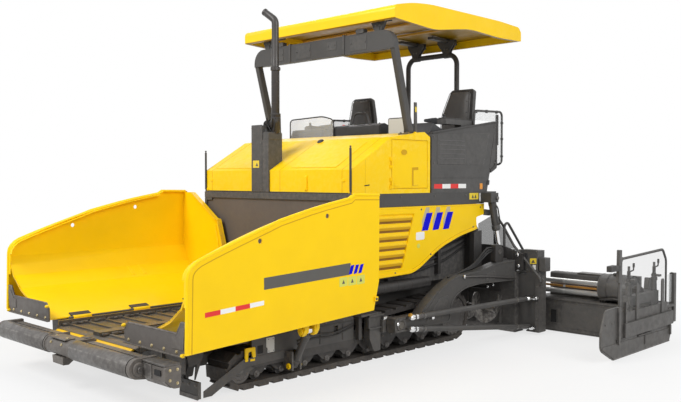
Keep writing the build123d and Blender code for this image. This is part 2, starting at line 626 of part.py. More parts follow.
def track_frame():
    inner = TRACK_T + ROLLER_GAP
    x0, x1 = TRACK_X0 + 40, TRACK_X1 - 20
    beam_z = 262
    shape = side_plate([(IDLER_Y + 180, beam_z), (IDLER_Y + 180, 288), (SPROCKET_Y - 300, 380), (SPROCKET_Y - 300, beam_z)],
                       FRAME_X + FRAME_T, x1)
    for i in range(TRACK_ROLLERS):
        y = IDLER_Y + 210 + i * (SPROCKET_Y - IDLER_Y - 470) / (TRACK_ROLLERS - 1)
        z = inner + TRACK_ROLLER_R
        shape = shape + rod((x0 + 50, y, z), (x1 - 50, y, z), TRACK_ROLLER_R)
        shape = shape + block((x0 + 70, x1 - 70), (y - 25, y + 25), (z, beam_z + 1))
    front_arm = side_plate([(IDLER_Y - 40, IDLER_R - 35), (IDLER_Y - 40, IDLER_R + 35), (IDLER_Y + 181, 288),
                            (IDLER_Y + 181, beam_z), (IDLER_Y + 60, IDLER_R - 35)], FRAME_X + FRAME_T, x1 - 40)
    rear_arm = side_plate([(SPROCKET_Y - 301, beam_z), (SPROCKET_Y - 301, 340), (SPROCKET_Y + 40, SPROCKET_R + 40),
                           (SPROCKET_Y + 40, SPROCKET_R - 40)], FRAME_X + FRAME_T, x1 - 40)
    idler = rod((x0, IDLER_Y, IDLER_R), (x1, IDLER_Y, IDLER_R), IDLER_R - inner)
    sprocket = rod((x0, SPROCKET_Y, SPROCKET_R), (x1, SPROCKET_Y, SPROCKET_R), SPROCKET_R - inner)
    bracket = block((x1 - 1, CYL_FOOT_X + 40), (CYL_Y - 62, CYL_Y - 40), (110, 290))
    bracket2 = block((x1 - 1, CYL_FOOT_X + 40), (CYL_Y + 40, CYL_Y + 62), (110, 290))
    pin = rod((CYL_FOOT_X, CYL_Y - 62, CYL_FOOT_Z), (CYL_FOOT_X, CYL_Y + 62, CYL_FOOT_Z), CYL_PIN_R)
    shape = joined(shape, front_arm, rear_arm, idler, sprocket, bracket, bracket2, pin)
    tow = block((TRACK_X1 + 6, TOW_X0 - SEAT_GAP), (TOW_Y - 70, TOW_Y + 70), (TOW_Z - 80, TOW_Z + 60))
    tow = tow + block((x1 - 60, TRACK_X1 + 7), (TOW_Y - 70, TOW_Y + 70), (TOW_Z - 80, TOW_Z + 10))
    tow_pin = rod((TOW_X0 - 1, TOW_Y, TOW_Z), (TOW_X1, TOW_Y, TOW_Z), TOW_PIN_R)
    return joined(shape, tow, tow_pin, *outer_guard(x1))


def outer_guard(x1):
    """Plate beside the track, on stays that pass between its runs, and the arm that runs down behind the scraper."""
    plate = side_plate([(1000, 268), (1000, 505), (2350, 505), (2350, 268)], GUARD_X, GUARD_X + GUARD_T, [20, 20, 20, 20])
    for y0, y1 in ((1175, 1245), (2060, 2120)):
        plate = plate - block((GUARD_X - 1, GUARD_X + GUARD_T + 1), (y0, y1), (365, 440))
    stays = [block((x1 - 1, GUARD_X + 1), (y, y + 60), (268, 294)) for y in (1250, 2200)]
    arm = side_plate([(455, 25), (540, 25), (930, 215), (1385, 225), (1385, 300), (900, 290), (455, 80)],
                     GUARD_X + GUARD_T - 1, GUARD_X + GUARD_T + 6)
    return [plate, *stays, arm]


def track_guard():
    """Scraper foot in front of a track, on an arm from the chassis side plate."""
    foot = block((SCRAPER_X0, SCRAPER_X1), (400, 430), (20, 165))
    arm = block((FRAME_X + FRAME_T, SCRAPER_X0 + 40), (405, 470), (100, 330))
    web = block((FRAME_X + FRAME_T - 1, FRAME_X + FRAME_T + 60), (404, 700), (FRAME_BOTTOM, 330))
    return joined(foot, arm, web)


def track_frames():
    side = track_frame()
    return Compound(children=[*side.solids(), *other_side(side).solids()])


def auger_frame():
    top = BODY_BOTTOM - SEAT_GAP
    beam = block((-HALF_WIDTH + 45, HALF_WIDTH - 45), (FRAME_REAR_Y + 5, BODY_REAR_Y), (top - 90, top))
    gear = block((-GEAR_HALF, GEAR_HALF), (FRAME_REAR_Y + 60, AUGER_Y + 70), (AUGER_Z - 60, top - 89))
    for bore in both(rod((AUGER_X0 - 1, AUGER_Y, AUGER_Z), (GEAR_HALF + 1, AUGER_Y, AUGER_Z), AUGER_SHAFT_R + PIN_GAP)):
        gear = gear - bore
    return beam + gear


# ================================================================ hopper wings
def wing_profile(inset):
    """Side outline of a wing as a face in (y, z), moved inwards by inset."""
    front = Line((0, 527), (13, 1128))
    nose = ThreePointArc((13, 1128), (45, 1211), (129, 1270))
    top = ThreePointArc((129, 1270), (980, 1556), (1878, 1736))
    step = Polyline((1878, 1736), (1933, 1768), (WING_LEN, 1762), (2280, 912), (2206, 632), (0, 527))
    face = make_face([front, nose, top, step])
    return offset(face, -inset) if inset else face


def wing_plane(x):
    return Plane(origin=(x, 0, 0), x_dir=(0, 1, 0), z_dir=(1, 0, 0))


def floor_height(x):
    return HINGE_Z + (x - HINGE_X) * WING_SLOPE


def wing():
    wall = extrude(wing_plane(WING_X - WING_T) * wing_profile(0), WING_T)
    rim = wing_profile(0) - wing_profile(WING_LIP_T)
    lip = extrude(wing_plane(WING_X - WING_LIP) * rim, WING_LIP)
    lip = lip - block((0, 3000), (-100, 3000), (0, 900))
    inner = WING_X - WING_T + 1
    floor = cross_plate([(HINGE_X + HINGE_R, floor_height(HINGE_X + HINGE_R)),
                         (FLOOR_BEND_X, floor_height(FLOOR_BEND_X)), (1540, 890), (inner - 1, 1090),
                         (inner, 1060), (1550, 875),
                         (FLOOR_BEND_X + 5, floor_height(FLOOR_BEND_X) - 9),
                         (HINGE_X + HINGE_R, floor_height(HINGE_X + HINGE_R) - 11)], 20, WING_REAR_Y + 5)
    rear = cross_plate([(HINGE_X + HINGE_R + 10, floor_height(HINGE_X + HINGE_R)), (780, 1151), (875, 1434),
                        (935, 1444), (1216, 1632), (1400, 1750), (inner, 1750), (inner, 1070),
                        (1540, 880), (FLOOR_BEND_X, floor_height(FLOOR_BEND_X) - 3)],
                       WING_REAR_Y, WING_REAR_Y + WING_REAR_T)
    lug = cross_plate([(1415, 790), (1560, 905), (1535, 500), (1490, 462), (1450, 490)],
                      CYL_Y + CYL_EYE_W / 2 + CYL_LUG_GAP, CYL_Y + CYL_EYE_W / 2 + CYL_LUG_GAP + CYL_LUG_T)
    lug2 = Pos(0, -(CYL_EYE_W + 2 * CYL_LUG_GAP + CYL_LUG_T), 0) * lug
    half = CYL_EYE_W / 2 + CYL_LUG_GAP + CYL_LUG_T
    pin = rod((CYL_LUG_X, CYL_Y - half, CYL_LUG_Z), (CYL_LUG_X, CYL_Y + half, CYL_LUG_Z), CYL_PIN_R)
    knuckles = [rod((HINGE_X, y, HINGE_Z), (HINGE_X, y + HINGE_KNUCKLE_L, HINGE_Z), HINGE_R)
                for y in HINGE_KNUCKLES]
    tabs = [block((HINGE_X, HINGE_X + HINGE_R + 5), (y, y + HINGE_KNUCKLE_L), (HINGE_Z - 6, HINGE_Z + 14))
            for y in HINGE_KNUCKLES]
    shape = joined(wall, lip, floor, rear, lug, lug2, pin, *knuckles, *tabs)
    for y, z in WING_HOLES:
        shape = shape - rod((WING_X - WING_T - 1, y, z), (WING_X + 1, y, z), WING_HOLE_R)
    return shape - rod((HINGE_X, 0, HINGE_Z), (HINGE_X, WING_LEN, HINGE_Z), HINGE_PIN_R + PIN_GAP)


def wing_flap():
    points = [(FLAP_X0, FLAP_BOTTOM), (FLAP_X1, FLAP_BOTTOM), (FLAP_X1 + 30, FLAP_HIGH), (1560, FLAP_HIGH),
              (1500, FLAP_TOP), (FLAP_X0 + 60, FLAP_TOP), (FLAP_X0, FLAP_TOP - 60)]
    return cross_plate(points, 20 - SEAT_GAP - FLAP_T, 20 - SEAT_GAP)


def wing_cylinder_ends():
    foot = (CYL_FOOT_X, CYL_Y, CYL_FOOT_Z)
    eye = (CYL_LUG_X, CYL_Y, CYL_LUG_Z)
    return foot, eye


def cylinder_eye(x, z, radius):
    """Round boss, or the hole in it, at one end of a wing cylinder."""
    return rod((x, CYL_Y - CYL_EYE_W / 2, z), (x, CYL_Y + CYL_EYE_W / 2, z), radius)


def wing_cylinder():
    foot, eye = wing_cylinder_ends()
    tube = rod(along(foot, eye, 20), along(foot, eye, CYL_BARREL_L), CYL_BARREL_R)
    bore = rod(along(foot, eye, 28), along(foot, eye, CYL_BARREL_L + 1), CYL_ROD_R + CYL_BORE_GAP)
    return tube + cylinder_eye(CYL_FOOT_X, CYL_FOOT_Z, CYL_BOSS_R) - bore - cylinder_eye(CYL_FOOT_X, CYL_FOOT_Z, CYL_PIN_R + PIN_GAP)


def wing_rod():
    foot, eye = wing_cylinder_ends()
    bar = rod(along(foot, eye, 32), eye, CYL_ROD_R)
    return bar + cylinder_eye(CYL_LUG_X, CYL_LUG_Z, CYL_BOSS_R + 6) - cylinder_eye(CYL_LUG_X, CYL_LUG_Z, CYL_PIN_R + CYL_EYE_GAP)


# ================================================================ push beam
def push_beam():
    """Beam that swings on the pin at the machine's nose, with yokes for two rollers and a block at its left end."""
    beam = block((-PUSH_X1, PUSH_X1), (PUSH_BEAM_Y - 70, PUSH_BEAM_Y), (PUSH_Z - 60, PUSH_Z + 60))
    yoke = block((-PUSH_X0 + PUSH_GAP, PUSH_X0 - PUSH_GAP), (PUSH_Y, PUSH_BEAM_Y - 69),
                 (PUSH_Z - PUSH_ARM_R, PUSH_Z + PUSH_ARM_R))
    end = side_plate([(PUSH_Y, PUSH_Z + PUSH_ARM_R), (PUSH_Y, PUSH_Z - PUSH_ARM_R), (PUSH_BEAM_Y, PUSH_Z - 110),
                      (PUSH_BEAM_Y + 10, PUSH_Z - 60), (PUSH_BEAM_Y + 10, PUSH_Z + 62)],
                     PUSH_X1 + PUSH_GAP, PUSH_X1 + 50)
    end = end + rod((PUSH_X1 + PUSH_GAP, PUSH_Y, PUSH_Z), (PUSH_X1 + 50, PUSH_Y, PUSH_Z), PUSH_ARM_R)
    nose = rod((PUSH_GAP - PUSH_X0, PUSH_Y, PUSH_Z), (PUSH_X0 - PUSH_GAP, PUSH_Y, PUSH_Z), PUSH_ARM_R)
    block_end = side_plate([(PUSH_Y + 40, PUSH_Z - 60), (PUSH_Y + 90, PUSH_Z - 110), (PUSH_BEAM_Y, PUSH_Z - 120),
                            (PUSH_BEAM_Y + 10, PUSH_Z - 60), (PUSH_BEAM_Y + 10, PUSH_Z + 62),
                            (PUSH_Y + 60, PUSH_Z + 62), (PUSH_Y + 40, PUSH_Z + 50)], PUSH_X1 + 49, PUSH_END_X)
    link = block((PUSH_X1 - 1, PUSH_X1 + 20), (PUSH_BEAM_Y - 70, PUSH_BEAM_Y), (PUSH_Z - 60, PUSH_Z + 60))
    pivot = block((-90, 90), (PUSH_BEAM_Y - 1, PUSH_PIVOT_Y + 60), (PUSH_Z - 60, PUSH_Z + 40))
    eye = rod((0, PUSH_PIVOT_Y, PUSH_Z - 61), (0, PUSH_PIVOT_Y, PUSH_Z + 41), PUSH_PIN_R + PIN_GAP)
    shape = joined(beam, yoke, nose, *both(end), block_end, *both(link), pivot) - eye
    for x0, x1 in ((PUSH_X0 - PUSH_STUB - 1, PUSH_X0), (PUSH_X1, PUSH_X1 + PUSH_STUB + 1)):
        for bore in both(rod((x0, PUSH_Y, PUSH_Z), (x1, PUSH_Y, PUSH_Z), PUSH_AXLE_R + PIN_GAP)):
            shape = shape - bore
    return shape


def push_roller():
    """Left roller with its axle stubs, which turn in the yoke and the end plate."""
    drum = rod((PUSH_X0, PUSH_Y, PUSH_Z), (PUSH_X1, PUSH_Y, PUSH_Z), PUSH_R)
    return drum + rod((PUSH_X0 - PUSH_STUB, PUSH_Y, PUSH_Z), (PUSH_X1 + PUSH_STUB, PUSH_Y, PUSH_Z), PUSH_AXLE_R)


# ================================================================ stations
def station():
    outline = [(STATION_Y0, STATION_Z0), (STATION_Y0, STATION_FRONT_TOP), (4920, STATION_REAR_TOP),
               (4958, STATION_REAR_TOP - 20), (4958, 2050), (4800, 2000), (4740, STATION_Z0)]
    inner = HALF_WIDTH - STATION_T + 1
    skin = side_plate(outline, HALF_WIDTH - STATION_T, HALF_WIDTH, [0, 60, 15, 12, 80, 60, 0])
    desk = block((STATION_X0 + 20, inner), (STATION_Y0, STATION_Y0 + 330), (STATION_Z0, STATION_FRONT_TOP - 20))
    base = block((STATION_X0, inner), (4300, 4740), (STATION_Z0, SEAT_Z - 160))
    floor = block((STATION_X0, inner), (STATION_Y0, 4740), (STATION_Z0, STATION_Z0 + 30))
    arm = block((inner - 126, inner), (3950, 4500), (2560, 2620))
    stand = block((inner - 96, inner), (4250, 4400), (2400, 2561))
    rail_x = HALF_WIDTH - STATION_T / 2
    guard = pipe([(rail_x, 4480, STATION_REAR_TOP - 60), (rail_x, 4500, STATION_GUARD_Z - 15),
                  (rail_x, 5090, STATION_GUARD_Z), (rail_x, 5090, 2100),
                  (STATION_X0 + 60, 5090, 2100), (STATION_X0 + 60, 4700, 2100)], 55, 14)
    tie = block((STATION_X0 + 40, STATION_X0 + 80), (4730, 4780), (STATION_Z0, 2110))
    return joined(skin, desk, base, floor, arm, stand, guard, tie)


def seat():
    cushion = block((SEAT_X - SEAT_W / 2, SEAT_X + SEAT_W / 2 - 40), (SEAT_Y - 440, SEAT_Y + 60),
                    (SEAT_Z - 160 + SEAT_GAP, SEAT_Z))
    back = Solid.make_loft([
        Wire.make_polygon([(SEAT_X - SEAT_W / 2, SEAT_Y, SEAT_Z - 10), (SEAT_X + SEAT_W / 2 - 40, SEAT_Y, SEAT_Z - 10),
                           (SEAT_X + SEAT_W / 2 - 40, SEAT_Y + 110, SEAT_Z - 10),
                           (SEAT_X - SEAT_W / 2, SEAT_Y + 110, SEAT_Z - 10)]),
        Wire.make_polygon([(SEAT_X - SEAT_BACK_TOP_W / 2, SEAT_Y + 110, SEAT_TOP),
                           (SEAT_X + SEAT_BACK_TOP_W / 2, SEAT_Y + 110, SEAT_TOP),
                           (SEAT_X + SEAT_BACK_TOP_W / 2, SEAT_Y + 200, SEAT_TOP),
                           (SEAT_X - SEAT_BACK_TOP_W / 2, SEAT_Y + 200, SEAT_TOP)])])
    return cushion + back


def console():
    """Centre desk with the side-sloped dash between the two seats."""
    desk = block((-430, 430), (3670, 3900), (BAND_TOP + SEAT_GAP, 2560))
    return desk


# ================================================================ augers
def auger():
    """Shaft with its flights, each a disc that leans as the screw does."""
    shape = rod((AUGER_X0, AUGER_Y, AUGER_Z), (AUGER_X1, AUGER_Y, AUGER_Z), AUGER_SHAFT_R)
    pitch = (AUGER_X1 - GEAR_HALF - 60) / AUGER_PADDLES
    for i in range(AUGER_PADDLES):
        x = GEAR_HALF + 50 + (i + 0.5) * pitch
        lean = (AUGER_FLIGHT_T / 2 * cos(AUGER_LEAN), AUGER_FLIGHT_T / 2 * sin(AUGER_LEAN))
        disc = rod((x - lean[0], AUGER_Y - lean[1], AUGER_Z), (x + lean[0], AUGER_Y + lean[1], AUGER_Z), AUGER_R)
        shape = shape + disc
    return shape


# ================================================================ screed
def tow_arm_outline():
    """Side outline of a tow arm as a face in (y, z): a flat eye at the front, an arch, and a straight rear part."""
    y0, rear = TOW_Y - 100, BASE_Y0 - SEAT_GAP
    top = [Line((y0, TOW_Z + 75), (3120, TOW_Z + 80)), ThreePointArc((3120, TOW_Z + 80), (3415, 668), (3800, 822)),
           Polyline((3800, 822), (4230, 840), (4600, 905), (rear, 915))]
    under = [Line((rear, 660), (4230, 684)), ThreePointArc((4230, 684), (3915, 664), (3690, 560)),
             Line((3690, 560), (3650, TOW_Z - 75))]
    return make_face([*top, Line((rear, 915), (rear, 660)), *under, Line((3650, TOW_Z - 75), (y0, TOW_Z - 75)),
                      Line((y0, TOW_Z - 75), (y0, TOW_Z + 75))])


def tow_arms():
    """Both tow arms, each with the clevis of its lift cylinder on the inner face."""
    plane = Plane(origin=(TOW_X0, 0, 0), x_dir=(0, 1, 0), z_dir=(1, 0, 0))
    arm = extrude(plane * tow_arm_outline(), TOW_X1 - TOW_X0)
    arm = arm - rod((TOW_X0 - 1, TOW_Y, TOW_Z), (TOW_X1 + 1, TOW_Y, TOW_Z), TOW_PIN_R + PIN_GAP)
    near = LIFT_X + LIFT_EYE_W / 2 + CYL_LUG_GAP
    far = LIFT_X - LIFT_EYE_W / 2 - CYL_LUG_GAP
    rear_y = BASE_Y0 - SEAT_GAP
    cheek = side_plate([(LIFT_EYE_Y - 90, LIFT_EYE_Z - 80), (rear_y, LIFT_EYE_Z - 80), (rear_y, LIFT_EYE_Z + 30),
                        (LIFT_EYE_Y - 36, LIFT_EYE_Z + 30)], near, TOW_X0 + 1)
    cheek2 = Pos(far - TOW_X0 - 1, 0, 0) * cheek
    base = block((far - (TOW_X0 + 1 - near), TOW_X0 + 1), (LIFT_EYE_Y - 90, rear_y),
                 (LIFT_EYE_Z - 120, LIFT_EYE_Z - 79))
    pin = rod((far - 10, LIFT_EYE_Y, LIFT_EYE_Z), (near + 10, LIFT_EYE_Y, LIFT_EYE_Z), LIFT_PIN_R)
    arm = joined(arm, cheek, cheek2, base, pin)
    return Compound(children=[*arm.solids(), *other_side(arm).solids()])


def screed_base():
    wall = block((-BASE_HALF, BASE_HALF), (BASE_Y0, BASE_Y0 + 40), (60, BASE_TOP))
    sole = block((-BASE_HALF, BASE_HALF), (BASE_Y0 + 10, BASE_Y1), (SOLE_Z, 200))
    web = block((-BASE_HALF, BASE_HALF), (BASE_Y0 + 39, BASE_Y1 - 50), (199, UPPER_Z0 + 1))
    front = block((-BASE_HALF, BASE_HALF), (BASE_Y0 + 39, BASE_Y1), (UPPER_Z0, BASE_TOP))
    guide = block((-UPPER_HALF, UPPER_HALF), (BASE_Y1 - 1, UPPER_Y1), (UPPER_Z0, BASE_TOP))
    for z in TUBE_Z:
        guide = guide - rod((-BASE_HALF, TUBE_Y, z), (BASE_HALF, TUBE_Y, z), TUBE_R + PIN_GAP)
    guide = guide - rod((-BASE_HALF, TUBE_Y, ROD_Z), (BASE_HALF, TUBE_Y, ROD_Z), ROD_R + PIN_GAP)
    shape = joined(wall, sole, web, front, guide)
    column = block((COLUMN_X0, COLUMN_X1), (COLUMN_Y0, COLUMN_Y1), (30, BASE_TOP + 5))
    panel = block((BASE_HALF - 1, COLUMN_X0 + 1), (COLUMN_Y0, COLUMN_Y0 + 60), (60, BASE_TOP - 30))
    box = block((COLUMN_X0 - 100, COLUMN_X1 - 25), (COLUMN_Y0, COLUMN_Y1), (BASE_TOP + 4, 1035))
    shape = joined(shape, *both(column), *both(panel), *both(box))
    for front_z, rear_z in BRACE_Z:
        brace = rod((BRACE_FRONT_X, BRACE_FRONT_Y, front_z), (COLUMN_X0 + 40, COLUMN_Y0 + 20, rear_z), BRACE_R)
        shape = joined(shape, *both(brace))
    arm_x = (WALK_ARM_X - 30, WALK_ARM_X + 30)
    arm = block(arm_x, (UPPER_Y1 - 1, WALK_Y0 + 60), (UPPER_Z0 + 10, UPPER_Z0 + 70))
    drop = block(arm_x, (WALK_Y0 + 4, WALK_Y0 + 60), (WALK_Z - WALK_T, UPPER_Z0 + 11))
    walk = block((50 - BASE_HALF, BASE_HALF - 50), (WALK_Y0, WALK_Y1), (WALK_Z - WALK_T, WALK_Z))
    rail = pipe([(RAIL_X, 5080, BASE_TOP - 1), (RAIL_X, 5080, 1440), (RAIL_X, 5610, 900), (RAIL_X, 5610, BASE_TOP - 1)],
                60, RAIL_R)
    return joined(shape, *both(arm), *both(drop), walk, *both(rail))


def lift_ends():
    return (LIFT_X, LIFT_TOP_Y, LIFT_TOP_Z), (LIFT_X, LIFT_EYE_Y, LIFT_EYE_Z)


def lift_cylinder():
    top, eye = lift_ends()
    tube = rod(along(top, eye, 20), along(top, eye, LIFT_BARREL_L), LIFT_BARREL_R)
    bore = rod(along(top, eye, 30), along(top, eye, LIFT_BARREL_L + 1), LIFT_ROD_R + CYL_BORE_GAP)
    half = LIFT_BARREL_R + LIFT_BOSS_STEP
    boss = rod((LIFT_X - half, LIFT_TOP_Y, LIFT_TOP_Z), (LIFT_X + half, LIFT_TOP_Y, LIFT_TOP_Z), LIFT_BOSS_R)
    hole = rod((LIFT_X - half - 1, LIFT_TOP_Y, LIFT_TOP_Z), (LIFT_X + half + 1, LIFT_TOP_Y, LIFT_TOP_Z),
               LIFT_PIN_R + PIN_GAP)
    return tube + boss - bore - hole


def lift_rod():
    top, eye = lift_ends()
    bar = rod(along(top, eye, LIFT_BARREL_L - 18), eye, LIFT_ROD_R)
    half = LIFT_EYE_W / 2
    boss = rod((LIFT_X - half, LIFT_EYE_Y, LIFT_EYE_Z), (LIFT_X + half, LIFT_EYE_Y, LIFT_EYE_Z), LIFT_BOSS_R + 4)
    hole = rod((LIFT_X - half - 1, LIFT_EYE_Y, LIFT_EYE_Z), (LIFT_X + half + 1, LIFT_EYE_Y, LIFT_EYE_Z),
               LIFT_PIN_R + LIFT_EYE_GAP)
    return bar + boss - hole


def extension():
    wall = block((EXT_X0, EXT_X1), (EXT_Y0, EXT_Y0 + 30), (30, EXT_TOP))
    sole = block((EXT_X0, EXT_X1), (EXT_Y0 + 5, EXT_Y1), (SOLE_Z, 180))
    frame = block((EXT_X0, EXT_X1), (EXT_Y0 + 29, EXT_Y1 - 60), (179, EXT_TOP))
    drum_y = EXT_Y0 + DRUM_R - 30
    drum = rod((DRUM_X0, drum_y, DRUM_Z), (DRUM_X1, drum_y, DRUM_Z), DRUM_R)
    shape = joined(wall, sole, frame, drum)
    for z in TUBE_Z:
        shape = shape + rod((TUBE_X0, TUBE_Y, z), (DRUM_X0 + 1, TUBE_Y, z), TUBE_R)
    shape = shape + rod((TUBE_X0, TUBE_Y, ROD_Z), (DRUM_X0 + 1, TUBE_Y, ROD_Z), ROD_R)
    arm = block((DRUM_X1 - 1, EXT_X1), (EXT_Y0 + 20, JACK_Y[1] + 50), (EXT_TOP - 1, DRUM_Z + 20))
    reach = block((EXT_X1 - 70, EXT_X1), (JACK_Y[0] - 30, EXT_Y0 + 21), (DRUM_Z - 90, DRUM_Z + 20))
    shape = joined(shape, arm, reach)
    for y in JACK_Y:
        shape = shape + rod((JACK_X, y, DRUM_Z - 80), (JACK_X, y, JACK_TOP), JACK_R)
        shape = shape + rod((JACK_X, y, JACK_TOP - 1), (JACK_X, y, SCREW_TOP), SCREW_R)
    walk_x = (EXT_X0 + 170, EXT_X1)
    walk = block(walk_x, (EXT_Y1 - 1, REAR_Y - 20), (EXT_WALK_Z - WALK_T, EXT_WALK_Z))
    plate = block(walk_x, (EXT_Y1 - 61, EXT_Y1), (EXT_WALK_Z - WALK_T, EXT_WALK_Z))
    post = block((EXT_X1 - 60, EXT_X1), (REAR_Y - 60, REAR_Y), (190, 780))
    return joined(shape, walk, plate, post)


GATE = [(4103, 320), (4103, 144), (4379, GATE_Z0), (5822, GATE_Z0), (5876, 132), (5876, 400), (5740, 430),
        (5740, 980), (5640, 1120), (4560, 1085), (4520, 1040), (4520, 560), (4208, 555)]
GATE_BENDS = [20, 60, 60, 60, 60, 20, 10, 60, 60, 20, 20, 20, 60]
GATE_POST = 45.0             # half width of the gate's posts at the jacks
GATE_WINDOWS = (
    [(4560, 600), (4560, 1044), (JACK_Y[0] - GATE_POST, 1056), (JACK_Y[0] - GATE_POST, 480), (4600, 480)],
    [(JACK_Y[0] + GATE_POST, 480), (JACK_Y[0] + GATE_POST, 1059), (JACK_Y[1] - GATE_POST, 1078),
     (JACK_Y[1] - GATE_POST, 480)])


def end_gate():
    plate = side_plate(GATE, GATE_X0, GATE_X0 + GATE_T, GATE_BENDS)
    for window in GATE_WINDOWS:
        plate = plate - side_plate(window, GATE_X0 - 1, GATE_X0 + GATE_T + 1)
    bar = block((GATE_X0 + GATE_T - 1, GATE_X1), (4150, 5860), (200, 370))
    shape = plate + bar
    for y in JACK_Y:
        bracket = block((JACK_X - 30, GATE_X0 + 1), (y - 35, y + 35), (JACK_TOP + SEAT_GAP, JACK_TOP + 30))
        shape = shape + bracket - rod((JACK_X, y, JACK_TOP), (JACK_X, y, JACK_TOP + 31), SCREW_R + PIN_GAP)
    return shape


# ================================================================ output
def parts():
    """Every node by name: a shape, or a list with its left and right copies."""
    single = {
        "main_frame": joined(main_frame(), *both(track_guard()), *both(wing_hinge())),
        "conveyor_floor": conveyor_floor(),
        "bulkhead": bulkhead(),
        "engine_block": engine_block(),
        "hood": hood(),
        "exhaust_box": exhaust_box(),
        "exhaust_stack": exhaust_stack(),
        "side_panels": side_panels(),
        "platform": platform(),
        "control_console": console(),
        "canopy": canopy(),
        "canopy_frame": canopy_frame(),
        "track_frames": track_frames(),
        "auger_frame": auger_frame(),
        "push_beam": push_beam(),
        "tow_arms": tow_arms(),
        "screed_base": screed_base(),
    }
    paired = {
        "track": track(), "hood_door": hood_door(), "push_roller": push_roller(),
        "wing": wing(), "wing_flap": wing_flap(), "wing_cylinder": wing_cylinder(), "wing_rod": wing_rod(),
        "station": station(), "seat": seat(), "auger": auger(),
        "lift_cylinder": lift_cylinder(), "lift_rod": lift_rod(),
        "extension": extension(), "end_gate": end_gate(),
    }
    nodes = dict(single)
    for name, shape in paired.items():
        nodes[name + "_left"] = shape
        nodes[name + "_right"] = other_side(shape)
    return nodes


def write_parts():
    os.makedirs("parts", exist_ok=True)
    for name, shape in parts().items():
        solids = [solid.moved(Location(SHIFT)) for solid in shape.solids()]
        export_step(Compound(children=solids), f"parts/{name}.step")


if __name__ == "__main__":
    write_parts()
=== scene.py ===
import json
from math import cos, pi, radians, sin

import bmesh
import bpy
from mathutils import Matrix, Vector

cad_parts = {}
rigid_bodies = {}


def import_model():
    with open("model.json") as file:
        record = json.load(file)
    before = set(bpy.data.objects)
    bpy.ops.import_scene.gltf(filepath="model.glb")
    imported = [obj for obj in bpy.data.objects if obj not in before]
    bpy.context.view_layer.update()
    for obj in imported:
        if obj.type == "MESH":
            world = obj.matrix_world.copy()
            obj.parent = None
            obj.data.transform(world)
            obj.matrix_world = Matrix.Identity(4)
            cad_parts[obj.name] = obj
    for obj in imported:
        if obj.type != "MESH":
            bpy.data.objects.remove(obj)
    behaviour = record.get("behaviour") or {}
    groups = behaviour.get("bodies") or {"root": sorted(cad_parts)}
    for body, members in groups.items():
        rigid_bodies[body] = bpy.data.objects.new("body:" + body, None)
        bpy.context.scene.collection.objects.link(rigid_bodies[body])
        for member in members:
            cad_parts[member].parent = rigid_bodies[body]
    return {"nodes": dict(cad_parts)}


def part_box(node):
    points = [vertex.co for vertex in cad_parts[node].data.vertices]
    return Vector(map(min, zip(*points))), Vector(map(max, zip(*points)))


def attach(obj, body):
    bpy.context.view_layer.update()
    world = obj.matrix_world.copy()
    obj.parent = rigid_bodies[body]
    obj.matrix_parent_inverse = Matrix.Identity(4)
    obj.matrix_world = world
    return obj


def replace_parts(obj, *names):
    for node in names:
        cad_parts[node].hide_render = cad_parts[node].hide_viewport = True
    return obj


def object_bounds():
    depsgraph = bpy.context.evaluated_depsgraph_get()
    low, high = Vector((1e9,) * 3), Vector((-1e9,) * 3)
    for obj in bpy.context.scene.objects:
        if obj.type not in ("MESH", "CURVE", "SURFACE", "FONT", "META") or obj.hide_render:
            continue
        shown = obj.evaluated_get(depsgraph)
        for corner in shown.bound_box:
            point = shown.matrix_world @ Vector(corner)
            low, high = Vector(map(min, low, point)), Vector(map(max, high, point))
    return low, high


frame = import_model()
cad_box = [list(corner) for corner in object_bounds()]

# Layout frame of this script: metres, X to the machine's left, Z up, Y to the
# rear from the front edge of the hopper wings.
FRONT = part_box("wing_left")[0][1]
SIDES = {"left": 1, "right": -1}
BODY_X = 1.245  # outer face of the body's sides
HOOD_Y = 2.318  # front face of the hood and of the wall behind the hopper
SHARP_ANGLE = 34  # degrees from which an edge of a piece stays sharp and is rounded


# ================================================================ materials
def rgb(red, green, blue):
    """sRGB 0-255 to the linear colour that Blender wants."""
    out = []
    for value in (red, green, blue):
        c = value / 255
        out.append(c / 12.92 if c <= 0.04045 else ((c + 0.055) / 1.055) ** 2.4)
    return (*out, 1.0)


def scaled(colour, factor):
    return (*(min(1.0, c * factor) for c in colour[:3]), 1.0)


def add_node(tree, kind, **inputs):
    node = tree.nodes.new(kind)
    for name, value in inputs.items():
        node.inputs[name.replace("_", " ")].default_value = value
    return node


def noise(tree, scale, detail=4.0, rough=0.55, stretch=None):
    coords = tree.nodes.new("ShaderNodeTexCoord")
    node = add_node(tree, "ShaderNodeTexNoise", Scale=scale, Detail=detail, Roughness=rough)
    source = coords.outputs["Object"]
    if stretch:
        mapping = add_node(tree, "ShaderNodeMapping", Scale=stretch)
        tree.links.new(source, mapping.inputs["Vector"])
        source = mapping.outputs["Vector"]
    tree.links.new(source, node.inputs["Vector"])
    return node.outputs["Fac"]


def ramp(tree, source, low, high, out_low=0.0, out_high=1.0):
    node = add_node(tree, "ShaderNodeMapRange")
    node.inputs["From Min"].default_value = low
    node.inputs["From Max"].default_value = high
    node.inputs["To Min"].default_value = out_low
    node.inputs["To Max"].default_value = out_high
    tree.links.new(source, node.inputs["Value"])
    return node.outputs["Result"]


def math(tree, operation, *values):
    node = tree.nodes.new("ShaderNodeMath")
    node.operation = operation
    for socket, value in zip(node.inputs, values):
        if isinstance(value, (int, float)):
            socket.default_value = value
        else:
            tree.links.new(value, socket)
    return node.outputs[0]


